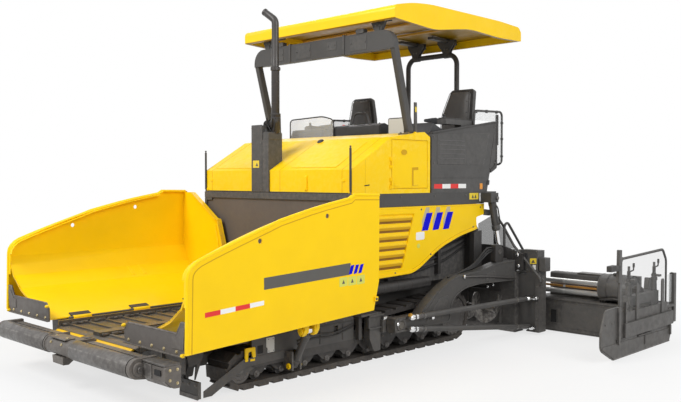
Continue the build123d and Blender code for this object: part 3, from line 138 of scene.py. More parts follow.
def mix(tree, factor, a, b):
    node = tree.nodes.new("ShaderNodeMix")
    node.data_type = "RGBA"
    if isinstance(factor, float):
        node.inputs["Factor"].default_value = factor
    else:
        tree.links.new(factor, node.inputs["Factor"])
    for socket, value in ((node.inputs[6], a), (node.inputs[7], b)):
        if isinstance(value, tuple):
            socket.default_value = value
        else:
            tree.links.new(value, socket)
    return node.outputs[2]


def bump(tree, shader, source, strength, distance):
    node = add_node(tree, "ShaderNodeBump", Strength=strength, Distance=distance)
    tree.links.new(source, node.inputs["Height"])
    tree.links.new(node.outputs["Normal"], shader.inputs["Normal"])


DUST = rgb(120, 112, 102)
ROUGHNESS_SPREAD = 0.12


def material(name, colour, roughness, metallic=0.0, vary=0.12, vary_scale=2.5, grain=180.0,
             grain_depth=0.00025, coat=0.0, dust=0.0, dust_top=0.9, edge=0.0, edge_colour=None, scratch=0.0,
             specular=0.5, alpha=1.0, under=None):
    """Painted or plain surface: colour clouds, fine grain, worn edges, dust towards the ground, and painted
    shade on faces that look down.
    """
    made = bpy.data.materials.new("look_" + name)
    made.use_nodes = True
    tree = made.node_tree
    shader = tree.nodes["Principled BSDF"]
    shader.inputs["Metallic"].default_value = metallic
    shader.inputs["Coat Weight"].default_value = coat
    shader.inputs["Coat Roughness"].default_value = 0.12
    shader.inputs["Specular IOR Level"].default_value = specular
    clouds = noise(tree, vary_scale)
    base = mix(tree, ramp(tree, clouds, 0.3, 0.7), scaled(colour, 1 - vary), scaled(colour, 1 + vary * 0.5))
    if scratch:
        streaks = ramp(tree, noise(tree, 30.0, 6.0, 0.7, (0.6, 0.12, 1.0)), 0.6, 0.72)
        base = mix(tree, math(tree, "MULTIPLY", streaks, scratch), base, scaled(colour, 0.55))
    if edge:
        geometry = tree.nodes.new("ShaderNodeNewGeometry")
        worn = ramp(tree, geometry.outputs["Pointiness"], 0.53, 0.6)
        spots = ramp(tree, noise(tree, 22.0, 5.0, 0.65), 0.42, 0.62)
        base = mix(tree, math(tree, "MULTIPLY", math(tree, "MULTIPLY", worn, spots), edge), base,
                   edge_colour or scaled(colour, 1.9))
    if dust:
        place = tree.nodes.new("ShaderNodeTexCoord")
        split = tree.nodes.new("ShaderNodeSeparateXYZ")
        tree.links.new(place.outputs["Object"], split.inputs["Vector"])
        height = ramp(tree, split.outputs["Z"], 0.0, dust_top, dust, dust * 0.1)
        patches = ramp(tree, noise(tree, 9.0, 6.0, 0.65), 0.35, 0.75, 0.2, 1.0)
        base = mix(tree, math(tree, "MULTIPLY", height, patches), base, DUST)
    # painted shade: faces that look down take the darker under colour
    if under:
        facing = tree.nodes.new("ShaderNodeNewGeometry")
        way = tree.nodes.new("ShaderNodeSeparateXYZ")
        tree.links.new(facing.outputs["Normal"], way.inputs["Vector"])
        base = mix(tree, ramp(tree, way.outputs["Z"], -0.25, -0.7), base, under)
    tree.links.new(base, shader.inputs["Base Color"])
    rough = ramp(tree, noise(tree, 14.0), 0.3, 0.7, max(0.02, roughness - ROUGHNESS_SPREAD),
                 min(1.0, roughness + ROUGHNESS_SPREAD))
    tree.links.new(rough, shader.inputs["Roughness"])
    if grain_depth:
        bump(tree, shader, noise(tree, grain, 2.0), 0.35, grain_depth)
    if alpha < 1.0:
        shader.inputs["Alpha"].default_value = alpha
    return made


YELLOW = material("yellow_paint", rgb(254, 209, 6), 0.4, vary=0.04, coat=0.05, dust=0.05, grain=90.0,
                  edge=0.2, edge_colour=rgb(255, 232, 120), specular=0.2)
SHADE_YELLOW = material("shaded_yellow", rgb(206, 158, 8), 0.5, vary=0.06, grain=90.0, specular=0.3)
# the canopy's faces that look down get a darker yellow as painted shade
CANOPY_YELLOW = material("canopy_yellow", rgb(254, 208, 6), 0.45, vary=0.04, coat=0.08, grain=60.0,
                         specular=0.35, under=rgb(160, 124, 14))
WORN_YELLOW = material("worn_yellow", rgb(248, 196, 12), 0.42, vary=0.1, dust=0.15, scratch=0.25,
                       edge=0.4, edge_colour=rgb(170, 150, 110), specular=0.35)
# the canopy's yellow as it looks in shade under the roof: painted shade
UNDERSIDE_SHADE = material("canopy_underside", rgb(196, 150, 52), 0.6, vary=0.1, specular=0.3)
GREY = material("dark_grey_paint", rgb(77, 76, 75), 0.48, vary=0.12, dust=0.25, edge=0.5,
                edge_colour=rgb(120, 116, 112), specular=0.3)
BAND_GREY = material("band_grey", rgb(76, 75, 74), 0.5, vary=0.08, dust=0.05, edge=0.4,
                     edge_colour=rgb(112, 109, 106), specular=0.25)
GREY_LIGHT = material("worn_grey_paint", rgb(86, 81, 77), 0.52, vary=0.16, dust=0.3, edge=0.6,
                      edge_colour=rgb(140, 134, 126))
STATION_LINE = material("rib_grey", rgb(84, 82, 81), 0.45, vary=0.08)
PALE_PANEL = material("pale_panel", rgb(196, 196, 192), 0.4, vary=0.05)
WALL = material("bulkhead_paint", rgb(92, 84, 78), 0.6, vary=0.14, vary_scale=1.2, dust=0.15)
# dark yellow for the shade in the louvres' gaps: painted shade
LOUVRE_GAP_SHADE = material("louvre_gap", rgb(140, 98, 8), 0.6, vary=0.1)
BLACK = material("near_black", rgb(48, 46, 45), 0.55, vary=0.15, dust=0.2)
# near black for painted shadow in openings, slots and the stack's mouth, and for the printed marks of the
# scale plate
SHADOW_AND_PRINT = material("shadow_black", rgb(16, 15, 15), 0.8, vary=0.1, grain_depth=0.0)
HOSE = material("hose_rubber", rgb(26, 25, 25), 0.5, vary=0.1, dust=0.25, grain=120.0)
TRACK_BLACK = material("track_rubber", rgb(44, 41, 40), 0.7, vary=0.2, dust=0.45, dust_top=0.7,
                       grain=60.0, grain_depth=0.001, edge=0.5, edge_colour=rgb(110, 104, 98))
ROLLER = material("roller_steel", rgb(86, 83, 81), 0.42, metallic=0.4, vary=0.1, dust=0.15, edge=0.7,
                  edge_colour=rgb(160, 156, 150))
STEEL = material("worked_steel", rgb(112, 108, 102), 0.42, metallic=0.7, vary=0.25, dust=0.3,
                 scratch=0.4)
BOLT = material("zinc_bolt", rgb(190, 176, 140), 0.35, metallic=0.85, vary=0.15, grain_depth=0.0)
BOLT_DARK = material("dull_bolt", rgb(104, 101, 97), 0.45, metallic=0.4, vary=0.15, grain_depth=0.0)
CHROME = material("bright_chrome", rgb(225, 225, 225), 0.14, metallic=1.0, vary=0.05,
                  grain_depth=0.0)
STACK = material("stack_coating", rgb(60, 57, 55), 0.4, vary=0.16, metallic=0.3, dust=0.1)
PLASTIC = material("console_plastic", rgb(46, 46, 48), 0.5, vary=0.08, grain=400.0, edge=0.3)
DISPLAY = material("display_glass", rgb(12, 14, 18), 0.12, vary=0.05, grain_depth=0.0)
SEAT = material("seat_cover", rgb(94, 92, 90), 0.62, vary=0.12, grain=500.0, grain_depth=0.0006)
SEAT_SIDE = material("seat_bolster", rgb(74, 72, 71), 0.55, vary=0.1, grain=500.0,
                     grain_depth=0.0004)
ENGINE = material("engine_grey", rgb(88, 88, 86), 0.6, vary=0.2)
BLUE = material("stripe_blue", rgb(2, 2, 205), 0.5, vary=0.04, grain_depth=0.0, specular=0.15)
RED = material("tape_red", rgb(226, 44, 40), 0.4, vary=0.05, grain_depth=0.0)
WHITE = material("tape_white", rgb(240, 240, 238), 0.4, vary=0.04, grain_depth=0.0)
STRIPE_GREY = material("stripe_grey", rgb(84, 82, 78), 0.45, vary=0.05, grain_depth=0.0)
GHOST = material("stripe_shadow", rgb(188, 176, 140), 0.45, vary=0.05, grain_depth=0.0)
LABEL = material("label_yellow", rgb(236, 208, 60), 0.45, vary=0.08, grain_depth=0.0)
LABEL_GREEN = material("label_green", rgb(214, 214, 92), 0.45, vary=0.08, grain_depth=0.0)
ORANGE = material("marker_orange", rgb(232, 150, 36), 0.3, vary=0.05, grain_depth=0.0)
ORANGE_CAP = material("amber_cap", rgb(206, 158, 70), 0.35, vary=0.05)
CLEAR_PALE = material("pale_sheet", rgb(120, 120, 118), 0.1, vary=0.02, grain_depth=0.0, alpha=0.11)
SMOKED = material("smoked_sheet", rgb(108, 108, 106), 0.12, vary=0.03, grain_depth=0.0, alpha=0.5)
CLEAR = material("clear_sheet", rgb(222, 224, 224), 0.08, vary=0.02, grain_depth=0.0, alpha=0.28)
TINTED = material("tinted_sheet", rgb(108, 108, 106), 0.1, vary=0.02, grain_depth=0.0, alpha=0.22)


SLIDE_Y = 2.564  # the tubes' line along the machine, in the frame's axes
SLIDE_FROM, SLIDE_TO = 1.0, 2.3795
RING_FROM, RING_TO = 1.88, 1.91
SLIDE_SHINE = 0.6
# the tubes' light grey is only SLIDE_SHINE metallic, so part of their brightness is a painted reflection in
# the diffuse colour
TUBE_COLOUR, ROD_COLOUR, RING_COLOUR = rgb(214, 214, 212), rgb(206, 150, 78), rgb(236, 236, 234)
SLIDE_BARS = ((0.64, 0.034, TUBE_COLOUR, 0.2), (0.515, 0.034, TUBE_COLOUR, 0.2),
              (0.578, 0.0165, ROD_COLOUR, 0.3))


def slides_material():
    """Dark paint, but chrome on the extension's tubes, partly a painted reflection in a light grey diffuse
    colour, and brass on its rod, with a white ring on each.
    """
    made = GREY.copy()
    made.name = "look_extension_slides"
    tree = made.node_tree
    shader = tree.nodes["Principled BSDF"]
    place = tree.nodes.new("ShaderNodeTexCoord")
    split = tree.nodes.new("ShaderNodeSeparateXYZ")
    tree.links.new(place.outputs["Object"], split.inputs["Vector"])
    across = math(tree, "ABSOLUTE", split.outputs["X"], 0.0)

    def within(low, high):
        return math(tree, "MULTIPLY", math(tree, "GREATER_THAN", across, low),
                    math(tree, "LESS_THAN", across, high))

    bars, ring = within(SLIDE_FROM, SLIDE_TO), within(RING_FROM, RING_TO)
    aside = math(tree, "POWER", math(tree, "SUBTRACT", split.outputs["Y"], SLIDE_Y), 2.0)
    colour = shader.inputs["Base Color"].links[0].from_socket
    rough = shader.inputs["Roughness"].links[0].from_socket
    metal = None
    for height, radius, bright, polish in SLIDE_BARS:
        up = math(tree, "POWER", math(tree, "SUBTRACT", split.outputs["Z"], height), 2.0)
        inside = math(tree, "LESS_THAN", math(tree, "ADD", aside, up), radius * radius)
        mask = math(tree, "MULTIPLY", inside, bars)
        colour = mix(tree, mask, colour, bright)
        colour = mix(tree, math(tree, "MULTIPLY", mask, ring), colour, RING_COLOUR)
        shine = math(tree, "MULTIPLY", mask, SLIDE_SHINE)
        metal = shine if metal is None else math(tree, "MAXIMUM", metal, shine)
        rough = math(tree, "ADD", math(tree, "MULTIPLY", rough, math(tree, "SUBTRACT", 1.0, mask)),
                     math(tree, "MULTIPLY", mask, polish))
    tree.links.new(colour, shader.inputs["Base Color"])
    tree.links.new(metal, shader.inputs["Metallic"])
    tree.links.new(rough, shader.inputs["Roughness"])
    return made


SLIDES = slides_material()

NODE_MATERIALS = {"main_frame": GREY, "conveyor_floor": STEEL, "bulkhead": WALL, "engine_block": ENGINE,
                  "hood": YELLOW, "exhaust_box": GREY, "exhaust_stack": STACK, "side_panels": YELLOW,
                  "platform": BAND_GREY, "control_console": PLASTIC, "canopy": CANOPY_YELLOW,
                  "canopy_frame": BAND_GREY, "track_frames": GREY, "auger_frame": GREY,
                  "push_beam": GREY_LIGHT, "tow_arms": GREY, "screed_base": GREY, "track": TRACK_BLACK,
                  "hood_door": YELLOW, "push_roller": ROLLER, "wing": YELLOW, "wing_flap": GREY_LIGHT,
                  "wing_cylinder": GREY, "wing_rod": CHROME, "station": GREY, "seat": SEAT, "auger": STEEL,
                  "lift_cylinder": GREY, "lift_rod": CHROME, "extension": SLIDES, "end_gate": GREY,}


def base_name(node):
    for side in SIDES:
        if node.endswith("_" + side):
            return node[:-len(side) - 1]
    return node


def round_edges(piece, width, angle=38):
    edge = piece.modifiers.new("edge", "BEVEL")
    edge.width = width
    edge.segments = 2
    edge.limit_method = "ANGLE"
    edge.angle_limit = radians(angle)
    edge.use_clamp_overlap = True
    edge.harden_normals = True


EDGE_WIDTHS = {"canopy": 0.02, "hood": 0.007, "canopy_frame": 0.008, "tow_arms": 0.008, "station": 0.006}


def dress_nodes():
    """Gives every CAD node its finish and a small round on its edges."""
    for name, node in frame["nodes"].items():
        node.data.materials.clear()
        node.data.materials.append(NODE_MATERIALS[base_name(name)])
        weld = node.modifiers.new("weld", "WELD")
        weld.merge_threshold = 0.00002
        round_edges(node, EDGE_WIDTHS.get(base_name(name), 0.004))


dress_nodes()


# ================================================================ piece maker
BEND_STEPS = 5  # straight parts in each bent corner of a tube
AXES = {"x": (1, 0, 0), "y": (0, 1, 0), "z": (0, 0, 1), "-x": (-1, 0, 0), "-y": (0, -1, 0)}


def arc(centre, radius, start, end, steps=8):
    """Points of an arc in a plane, angles in degrees."""
    out = []
    for i in range(steps + 1):
        a = radians(start + (end - start) * i / steps)
        out.append((centre[0] + radius * cos(a), centre[1] + radius * sin(a)))
    return out


def rounded(points, radius, steps=4, closed=True):
    """Outline or path in 2 or 3 dimensions with its corners rounded."""
    points = [Vector(p) for p in points]
    out = []
    count = len(points)
    for i, p in enumerate(points):
        r = radius[i] if isinstance(radius, (list, tuple)) else radius
        if not r or (not closed and i in (0, count - 1)):
            out.append(tuple(p))
            continue
        a, b = points[i - 1], points[(i + 1) % count]
        da, db = (a - p), (b - p)
        cut = min(r, da.length * 0.45, db.length * 0.45)
        start, end = p + da.normalized() * cut, p + db.normalized() * cut
        for k in range(steps + 1):
            t = k / steps
            out.append(tuple(start * (1 - t) ** 2 + p * 2 * t * (1 - t) + end * t * t))
    return out


def rect(a0, a1, b0, b1):
    """Outline of a rectangle from a0 to a1 and from b0 to b1."""
    return [(a0, b0), (a1, b0), (a1, b1), (a0, b1)]


def hoop(start, end, inner, outer):
    """Profile of a ring between two distances along an axis, for Piece.turned."""
    return [(start, inner), (start, outer), (end, outer), (end, inner)]


def span(side, near, far):
    """Low and high X of a stretch that lies from near to far on one side."""
    return sorted((side * near, side * far))


def strip(path, width):
    """Closed outline of a strip of one width to the left of a plane path."""
    points = [Vector(p) for p in path]
    normals = []
    for i in range(len(points)):
        a = points[max(0, i - 1)]
        b = points[min(len(points) - 1, i + 1)]
        d = (b - a).normalized()
        normals.append(Vector((-d.y, d.x)))
    return [tuple(p) for p in points] + [tuple(p + n * width) for p, n in reversed(list(zip(points,
                normals)))]


def direction(axis):
    return Vector(AXES[axis] if isinstance(axis, str) else axis).normalized()


class Piece:
    """Closed shapes of one finish on one body, gathered into one object. Numbers are in the layout frame."""

    def __init__(self, name, finish, body="chassis", side=1, edge=0.003):
        self.name, self.finish, self.body, self.side, self.edge = name, finish, body, side, edge
        self.bm = bmesh.new()

    def add(self, points, faces):
        verts = [self.bm.verts.new(p) for p in points]
        for face in faces:
            self.bm.faces.new([verts[i] for i in face])
        return self

    def prism(self, axis, outline, low, high, corner=0.0):
        """Outline in the two other axes, its corners rounded, carried from low to high along axis."""
        if corner:
            outline = rounded(outline, corner)
        points = []
        for level in (low, high):
            for a, b in outline:
                points.append({"x": (level, a, b), "y": (a, level, b), "z": (a, b, level)}[axis])
        n = len(outline)
        sides = [[i, (i + 1) % n, n + (i + 1) % n, n + i] for i in range(n)]
        return self.add(points, [list(range(n))[::-1], list(range(n, 2 * n)), *sides])

    def box(self, x, y, z):
        return self.prism("z", rect(*x, *y), *z)

    def loft(self, rings, closed=False):
        """Skin over rings with the same number of points, with end caps unless closed."""
        n = len(rings[0])
        points = [p for ring in rings for p in ring]
        faces = []
        count = len(rings)
        for i in range(count if closed else count - 1):
            a, b = i * n, ((i + 1) % count) * n
            faces += [[a + k, a + (k + 1) % n, b + (k + 1) % n, b + k] for k in range(n)]
        if not closed:
            faces += [list(range(n))[::-1], list(range((count - 1) * n, count * n))]
        return self.add(points, faces)

    def turned(self, start, axis, profile, sides=24):
        """Solid of revolution: profile of (distance along axis, radius) from start.

        A profile that starts and ends with a straight wall at one radius is a ring with a hole.
        """
        start, axis = Vector(start), direction(axis)
        u = axis.orthogonal().normalized()
        v = axis.cross(u)
        rings = []
        for along, radius in profile:
            centre = start + axis * along
            rings.append([centre + (u * cos(2 * pi * k / sides) + v * sin(2 * pi * k / sides)) * max(radius,
                        1e-4) for k in range(sides)])
        ring = (profile[0][1] == profile[-1][1] and profile[0][0] == profile[1][0]
                and profile[-1][0] == profile[-2][0])
        return self.loft(rings, closed=ring)

    def rod(self, a, b, radius, sides=20):
        a, b = Vector(a), Vector(b)
        length = (b - a).length
        return self.turned(a, b - a, [(0, radius), (length, radius)], sides)

    def tube(self, points, radius, bend=0.0, sides=10, closed=False):
        """Round bar along a path with bent corners."""
        path = [Vector(p) for p in (rounded(points, bend, BEND_STEPS, closed) if bend else points)]
        count = len(path)
        rings = []
        normal = None
        for i, p in enumerate(path):
            before = path[i - 1] if i or closed else p
            after = path[(i + 1) % count] if i < count - 1 or closed else p
            d = (after - before).normalized()
            if normal is None:
                normal = d.orthogonal().normalized()
            normal = (normal - d * normal.dot(d)).normalized()
            other = d.cross(normal)
            rings.append([p + (normal * cos(2 * pi * k / sides) + other * sin(2 * pi * k / sides)) * radius
                          for k in range(sides)])
        return self.loft(rings, closed)

    def bolt(self, at, axis, radius=0.011, height=0.009, washer=True):
        """Hexagon head on a washer; axis points out of the surface."""
        out = direction(axis)
        if washer:
            self.turned(at, out, [(0, radius * 1.45), (0.0022, radius * 1.45)], 16)
        return self.turned(Vector(at) + out * 0.001, out, [(0, radius), (height * 0.8, radius),
                    (height, radius * 0.82)], 6)

    def finish_piece(self):
        bm = self.bm
        for v in bm.verts:
            v.co.x *= self.side
            v.co.y += FRONT
        bmesh.ops.recalc_face_normals(bm, faces=bm.faces[:])
        for face in bm.faces:
            face.smooth = True
        for e in bm.edges:
            if len(e.link_faces) == 2 and e.calc_face_angle(0.0) > radians(SHARP_ANGLE):
                e.smooth = False
        mesh = bpy.data.meshes.new(self.name)
        bm.to_mesh(mesh)
        bm.free()
        mesh.materials.append(self.finish)
        piece = bpy.data.objects.new(self.name, mesh)
        bpy.context.scene.collection.objects.link(piece)
        if self.edge:
            round_edges(piece, self.edge, SHARP_ANGLE)
        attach(piece, self.body)
        return piece


class Kit:
    """Pieces of one region on one side: one object per finish and body."""

    def __init__(self, region, side_name=None, edge=0.003):
        self.region, self.side_name, self.edge = region, side_name, edge
        self.pieces = {}

    def __call__(self, finish, body="chassis", edge=None):
        if body.endswith("_"):
            body += self.side_name
        key = (finish.name, body)
        if key not in self.pieces:
            label = "_".join(filter(None, (self.region, body if body != "chassis" else "", finish.name[5:])))
            if self.side_name and not body.endswith(self.side_name):
                label += "_" + self.side_name
            self.pieces[key] = Piece(label, finish, body, SIDES.get(self.side_name, 1),
                                     self.edge if edge is None else edge)
        return self.pieces[key]

    def done(self):
        for piece in self.pieces.values():
            piece.finish_piece()


# ================================================================ push beam and rollers
PUSH_Y, PUSH_Z = -0.2, 0.39


def make_push_beam():
    kit = Kit("push")
    frame_part = kit(GREY_LIGHT, "push_beam")
    for k in (1, -1):
        cheek = [(-0.02, PUSH_Z + 0.085), *arc((PUSH_Y, PUSH_Z), 0.086, 80, 250, 14), (-0.08, PUSH_Z - 0.1),
                 (-0.02, PUSH_Z - 0.1)]
        frame_part.prism("x", cheek, *span(k, 0.216, 0.238))
        frame_part.prism("x", cheek, *span(k, 1.212, 1.262))
        for x in (0.216, 1.262):
            out = 1 if x > 1 else -1
            frame_part.turned((k * x, PUSH_Y, PUSH_Z), (k * out, 0, 0),
                              [(0, 0.058), (0.012, 0.058), (0.02, 0.05)])
            kit(ROLLER, "push_beam").bolt((k * (x + out * 0.018), PUSH_Y, PUSH_Z), (k * out, 0, 0), 0.026,
                        0.018)
        frame_part.prism("x", rect(-0.1, -0.03, 0.33, 0.452), *span(k, 0.24, 1.21))
    frame_part.box((-0.15, 0.15), (-0.265, -0.16), (0.47, 0.482))
    frame_part.prism("x", [(-0.262, 0.312), (-0.16, 0.312), (-0.15, 0.275), (-0.2, 0.238), (-0.255, 0.24)],
                     -0.1, 0.1)
    for x in (-0.1, 0.1):
        kit(BOLT, "push_beam").bolt((x, -0.21, 0.482), "z")
        kit(BOLT, "push_beam").bolt((x, -0.271, 0.43), "-y")
    plate = kit(ROLLER, "push_beam")
    plate.box((1.262, 1.4), (-0.168, -0.155), (0.335, 0.445))
    plate.prism("x", rect(-0.165, -0.02, 0.45, 0.466), 1.264, 1.585, 0.004)
    frame_part.prism("x", [(-0.166, 0.34), (-0.09, 0.27), (-0.02, 0.268), (-0.012, 0.45), (-0.166, 0.45)],
                     1.56, 1.592, 0.02)
    for y, z in ((-0.12, 0.42), (-0.05, 0.42), (-0.12, 0.34), (-0.05, 0.31)):
        kit(BOLT, "push_beam").bolt((1.592, y, z), "x", 0.009)
    # painted shadow in an opening of the end plate
    kit(SHADOW_AND_PRINT, "push_beam").box((1.44, 1.53), (-0.169, -0.15), (0.37, 0.415))
    pin = kit(ROLLER, "push_beam")
    pin.turned((0, 0.02, 0.43), "z", [(0, 0.05), (0.014, 0.05), (0.02, 0.04)])
    kit.done()
    for name in SIDES:
        kit = Kit("push_roller", name)
        ring = kit(ROLLER, "push_roller_")
        for x in (0.246, 1.182):
            ring.turned((x, PUSH_Y, PUSH_Z), "x", [(0, 0.06), (0, 0.0868), (0.003, 0.0879), (0.019, 0.0879),
                        (0.022, 0.0868), (0.022, 0.06)], 40)
        kit.done()


# ================================================================ hopper
WING_OUT = 1.65
CURVE = [(0.0, 0.527), (0.013, 1.128), (0.022, 1.174), (0.045, 1.211), (0.082, 1.244), (0.129, 1.27),
         (0.26, 1.318), (0.4, 1.366), (0.55, 1.416), (0.7, 1.464), (0.85, 1.512), (0.98, 1.556),
         (1.15, 1.596), (1.35, 1.641), (1.55, 1.68), (1.7, 1.706), (1.878, 1.736), (1.933, 1.768),
         (2.285, 1.762)]
TAPE_LOW, TAPE_HIGH = ((0.175, 0.806), (0.795, 0.841)), ((0.175, 0.847), (0.795, 0.88))


def between(a, b, t):
    return (a[0] + (b[0] - a[0]) * t, a[1] + (b[1] - a[1]) * t)


def decal(piece, outline, at=WING_OUT, thick=0.0012):
    piece.prism("x", outline, at - 0.004, at + thick)


def slashes(kit, body, y, z, height, gap, width, lean):
    """Three leaning blocks in a row on the wing's outer face."""
    for i in range(3):
        a = y + i * gap
        decal(kit(BLUE, body, 0), [(a, z), (a + width, z + 0.004), (a + width + lean * height,
                    z + height + 0.004), (a + lean * height, z + height)], WING_OUT, 0.0016)


def make_wing(name):
    kit = Kit("hopper", name)
    body = "hopper_wing_"
    rim = kit(YELLOW, body)
    # rolled rim along the front and top, flange along the bottom and rear
    rim.tube([(WING_OUT - 0.008, y, z) for y, z in CURVE], 0.016, sides=10)
    # painted shade line just inside the rolled rim
    rim_shade_line = strip(CURVE, -0.042)[len(CURVE):][::-1]
    kit(SHADE_YELLOW, body, 0).prism("x", strip(rim_shade_line, -0.009), WING_OUT - 0.004, WING_OUT + 0.0012)
    rim.tube([(WING_OUT - 0.008, 0.0, 0.531), (WING_OUT - 0.008, 2.206, 0.636),
              (WING_OUT - 0.008, 2.276, 0.912), (WING_OUT - 0.008, 2.28, 1.76)], 0.009, sides=8)
    inner = [(y, z - 0.012) for y, z in CURVE[1:17]]
    rim.prism("x", strip(inner, -0.009), WING_OUT - 0.085, WING_OUT - 0.05)
    bead = kit(WORN_YELLOW, body)
    # front edge of the floor and the wear strip along the hinge
    bead.prism("y", [(0.83, 0.522), (1.38, 0.77), (1.54, 0.89), (1.634, 1.08), (1.63, 1.06), (1.54, 0.868),
                     (1.38, 0.745), (0.83, 0.498)], 0.02, 0.034)
    # inner edge flange of the rear wall
    edge = [(0.795, 0.56), (0.78, 1.151), (0.875, 1.434), (0.935, 1.444), (1.216, 1.632), (1.4, 1.75)]
    kit(WORN_YELLOW, body).prism("y", strip(edge, -0.012), 2.2, 2.256)
    kit(YELLOW, body).prism("y", strip([(0.9, 0.62), (0.905, 1.15), (0.96, 1.36)], -0.03), 2.247, 2.256)
    # ribs under the floor, seen from outside when the wing is up
    for y in (0.35, 1.05, 1.75):
        kit(YELLOW, body).prism("y", [(0.88, 0.535), (1.38, 0.762), (1.54, 0.876), (1.638, 1.06),
                    (1.638, 0.9), (1.45, 0.7)], y, y + 0.012)
    # flap at the front
    flap = kit(GREY_LIGHT, body)
    for a, b in (((0.77, 0.682), (1.5, 0.682)), ((1.5, 0.682), (1.562, 0.779)),
                 ((1.562, 0.779), (1.628, 0.779))):
        flap.rod((a[0], 0.009, a[1]), (b[0], 0.009, b[1]), 0.0085, sides=10)
    flap.prism("y", rect(0.71, 1.6, 0.5, 0.512), -0.012, 0.004)
    flap.prism("y", [(1.44, 0.56), (1.6, 0.56), (1.62, 0.74), (1.57, 0.74), (1.5, 0.655), (1.44, 0.655)],
               -0.003, 0.006, 0.012)
    for x in (0.78, 0.96, 1.14, 1.32, 1.5):
        kit(BOLT, body).bolt((x, 0.0037, 0.535), "-y", 0.0115, 0.009)
    for x, y, z in ((0.72, -0.004, 0.655), (1.6, -0.004, 0.52)):
        kit(YELLOW, body).turned((x, y + 0.008, z), "-y", [(0, 0.016), (0.02, 0.016), (0.032, 0.008)], 12)
    # tape, stripe, blank signs
    for i in range(4):
        a, b = i / 4, (i + 1) / 4
        outline = [between(*TAPE_LOW, a), between(*TAPE_LOW, b), between(*TAPE_HIGH, b),
                   between(*TAPE_HIGH, a)]
        decal(kit(RED if i % 2 == 0 else WHITE, body, 0), outline)
    decal(kit(STRIPE_GREY, body, 0), [(0.796, 0.971), (1.864, 1.01), (1.872, 1.122), (0.796, 1.074)])
    slashes(kit, body, 1.845, 1.012, 0.085, 0.066, 0.046, lean=0.4)
    for i in range(3):
        a = 1.72 + i * 0.12
        decal(kit(LABEL_GREEN, body, 0), rounded([(a, 0.905), (a + 0.11, 0.91), (a + 0.11, 0.995), (a, 0.99)],
                    0.01))
        decal(kit(STRIPE_GREY, body, 0), [(a + 0.035, 0.93), (a + 0.075, 0.932), (a + 0.055, 0.97)], WING_OUT,
              0.002)
    # rims of the two holes, latch
    for y, z in ((0.753, 1.394), (1.563, 1.58)):
        rim.turned((WING_OUT - 0.004, y, z), "x", [(0, 0.0225), (0, 0.031), (0.004, 0.031), (0.0062, 0.029),
                    (0.0062, 0.0225)], 24)
    rim.prism("x", [(2.2, 0.72), (2.245, 0.72), (2.25, 0.765), (2.205, 0.765)], WING_OUT, WING_OUT + 0.02,
              0.008)
    kit(BOLT_DARK, body).bolt((WING_OUT + 0.02, 2.225, 0.742), "x", 0.01)
    # lugs of the lift cylinder
    lug = kit(YELLOW, body)
    for y in (1.375, 1.525):
        lug.prism("y", [(1.4, 0.8), (1.56, 0.905), (1.545, 0.52), (1.5, 0.452), (1.45, 0.48)], y, y + 0.04,
                  0.03)
        lug.turned((1.49, y + (0 if y < 1.45 else 0.04), 0.515), (0, -1 if y < 1.45 else 1, 0),
                   [(0, 0.034), (0.012, 0.034), (0.016, 0.028)])
    kit(YELLOW, body).prism("y", [(1.43, 0.72), (1.6, 0.86), (1.6, 0.79), (1.46, 0.68)], 1.36, 1.58)
    # dark stepped joints at the hinge
    for y in (0.3, 1.0, 1.7):
        kit(BLACK, body).prism("y", [(0.795, 0.502), (0.86, 0.532), (0.855, 0.545), (0.79, 0.524)], y - 0.01,
                               y + 0.21)
    kit.done()
    # lift cylinder
    kit = Kit("wing_cylinder", name)
    foot, eye = Vector((1.29, 1.47, 0.15)), Vector((1.49, 1.47, 0.515))
    d = (eye - foot).normalized()
    barrel = kit(GREY, "wing_cylinder_")
    barrel.turned(foot, d, [(0.3, 0.034), (0.3, 0.041), (0.352, 0.041), (0.358, 0.036), (0.371, 0.03),
                            (0.371, 0.0195), (0.365, 0.0195), (0.365, 0.034)], 24)
    barrel.turned(foot, d, hoop(0.03, 0.065, 0.034, 0.039), 24)
    kit(HOSE, "wing_cylinder_").tube([foot + d * 0.34 + Vector((-0.03, 0.03, 0)),
                foot + d * 0.3 + Vector((-0.05, 0.05, -0.01)), foot + d * 0.1 + Vector((-0.04, 0.05, 0.0)),
                foot + d * 0.05 + Vector((-0.03, 0.04, 0.0))], 0.009, 0.03)
    kit(YELLOW, "chassis").turned((1.29, 1.535, 0.15), "y", [(0, 0.03), (0.01, 0.03), (0.016, 0.022)])
    kit(YELLOW, "chassis").turned((1.29, 1.405, 0.15), "-y", [(0, 0.03), (0.01, 0.03), (0.016, 0.022)])
    kit.done()


def make_conveyor():
    kit = Kit("conveyor")
    plate, chain = kit(STEEL), kit(ROLLER)
    for x in (-0.72, -0.075, 0.055, 0.7):
        for i in range(40):
            y = 0.15 + i * 0.1
            chain.box((x, x + 0.02), (y, y + 0.075), (0.446, 0.468))
            if i % 2:
                chain.box((x - 0.008, x + 0.028), (y + 0.07, y + 0.105), (0.448, 0.463))
    plate.prism("x", [(0.13, 0.395), (0.09, 0.43), (0.13, 0.444)], -0.74, 0.74)
    front = kit(WORN_YELLOW)
    front.prism("x", [(0.128, 0.44), (0.05, 0.405), (0.06, 0.392), (0.14, 0.425)], -0.7, 0.7, 0.006)
    kit(GREY).box((-0.74, 0.74), (0.09, 0.13), (0.36, 0.4))
    for x in [-0.6 + 0.2 * i for i in range(7)]:
        kit(BOLT_DARK).bolt((x, 0.09, 0.38), "-y")
    # idler drums of the two chains
    for k in (1, -1):
        kit(ROLLER).rod((k * 0.1, 0.17, 0.4), (k * 0.7, 0.17, 0.4), 0.038)
        # inclined apron beside the conveyor, under the wing's hinge
        kit(WORN_YELLOW).prism("y", [(k * 0.752, 0.44), (k * 0.762, 0.448), (k * 0.762, 0.492),
                    (k * 0.752, 0.492)], 0.13, 2.3)
    kit.done()


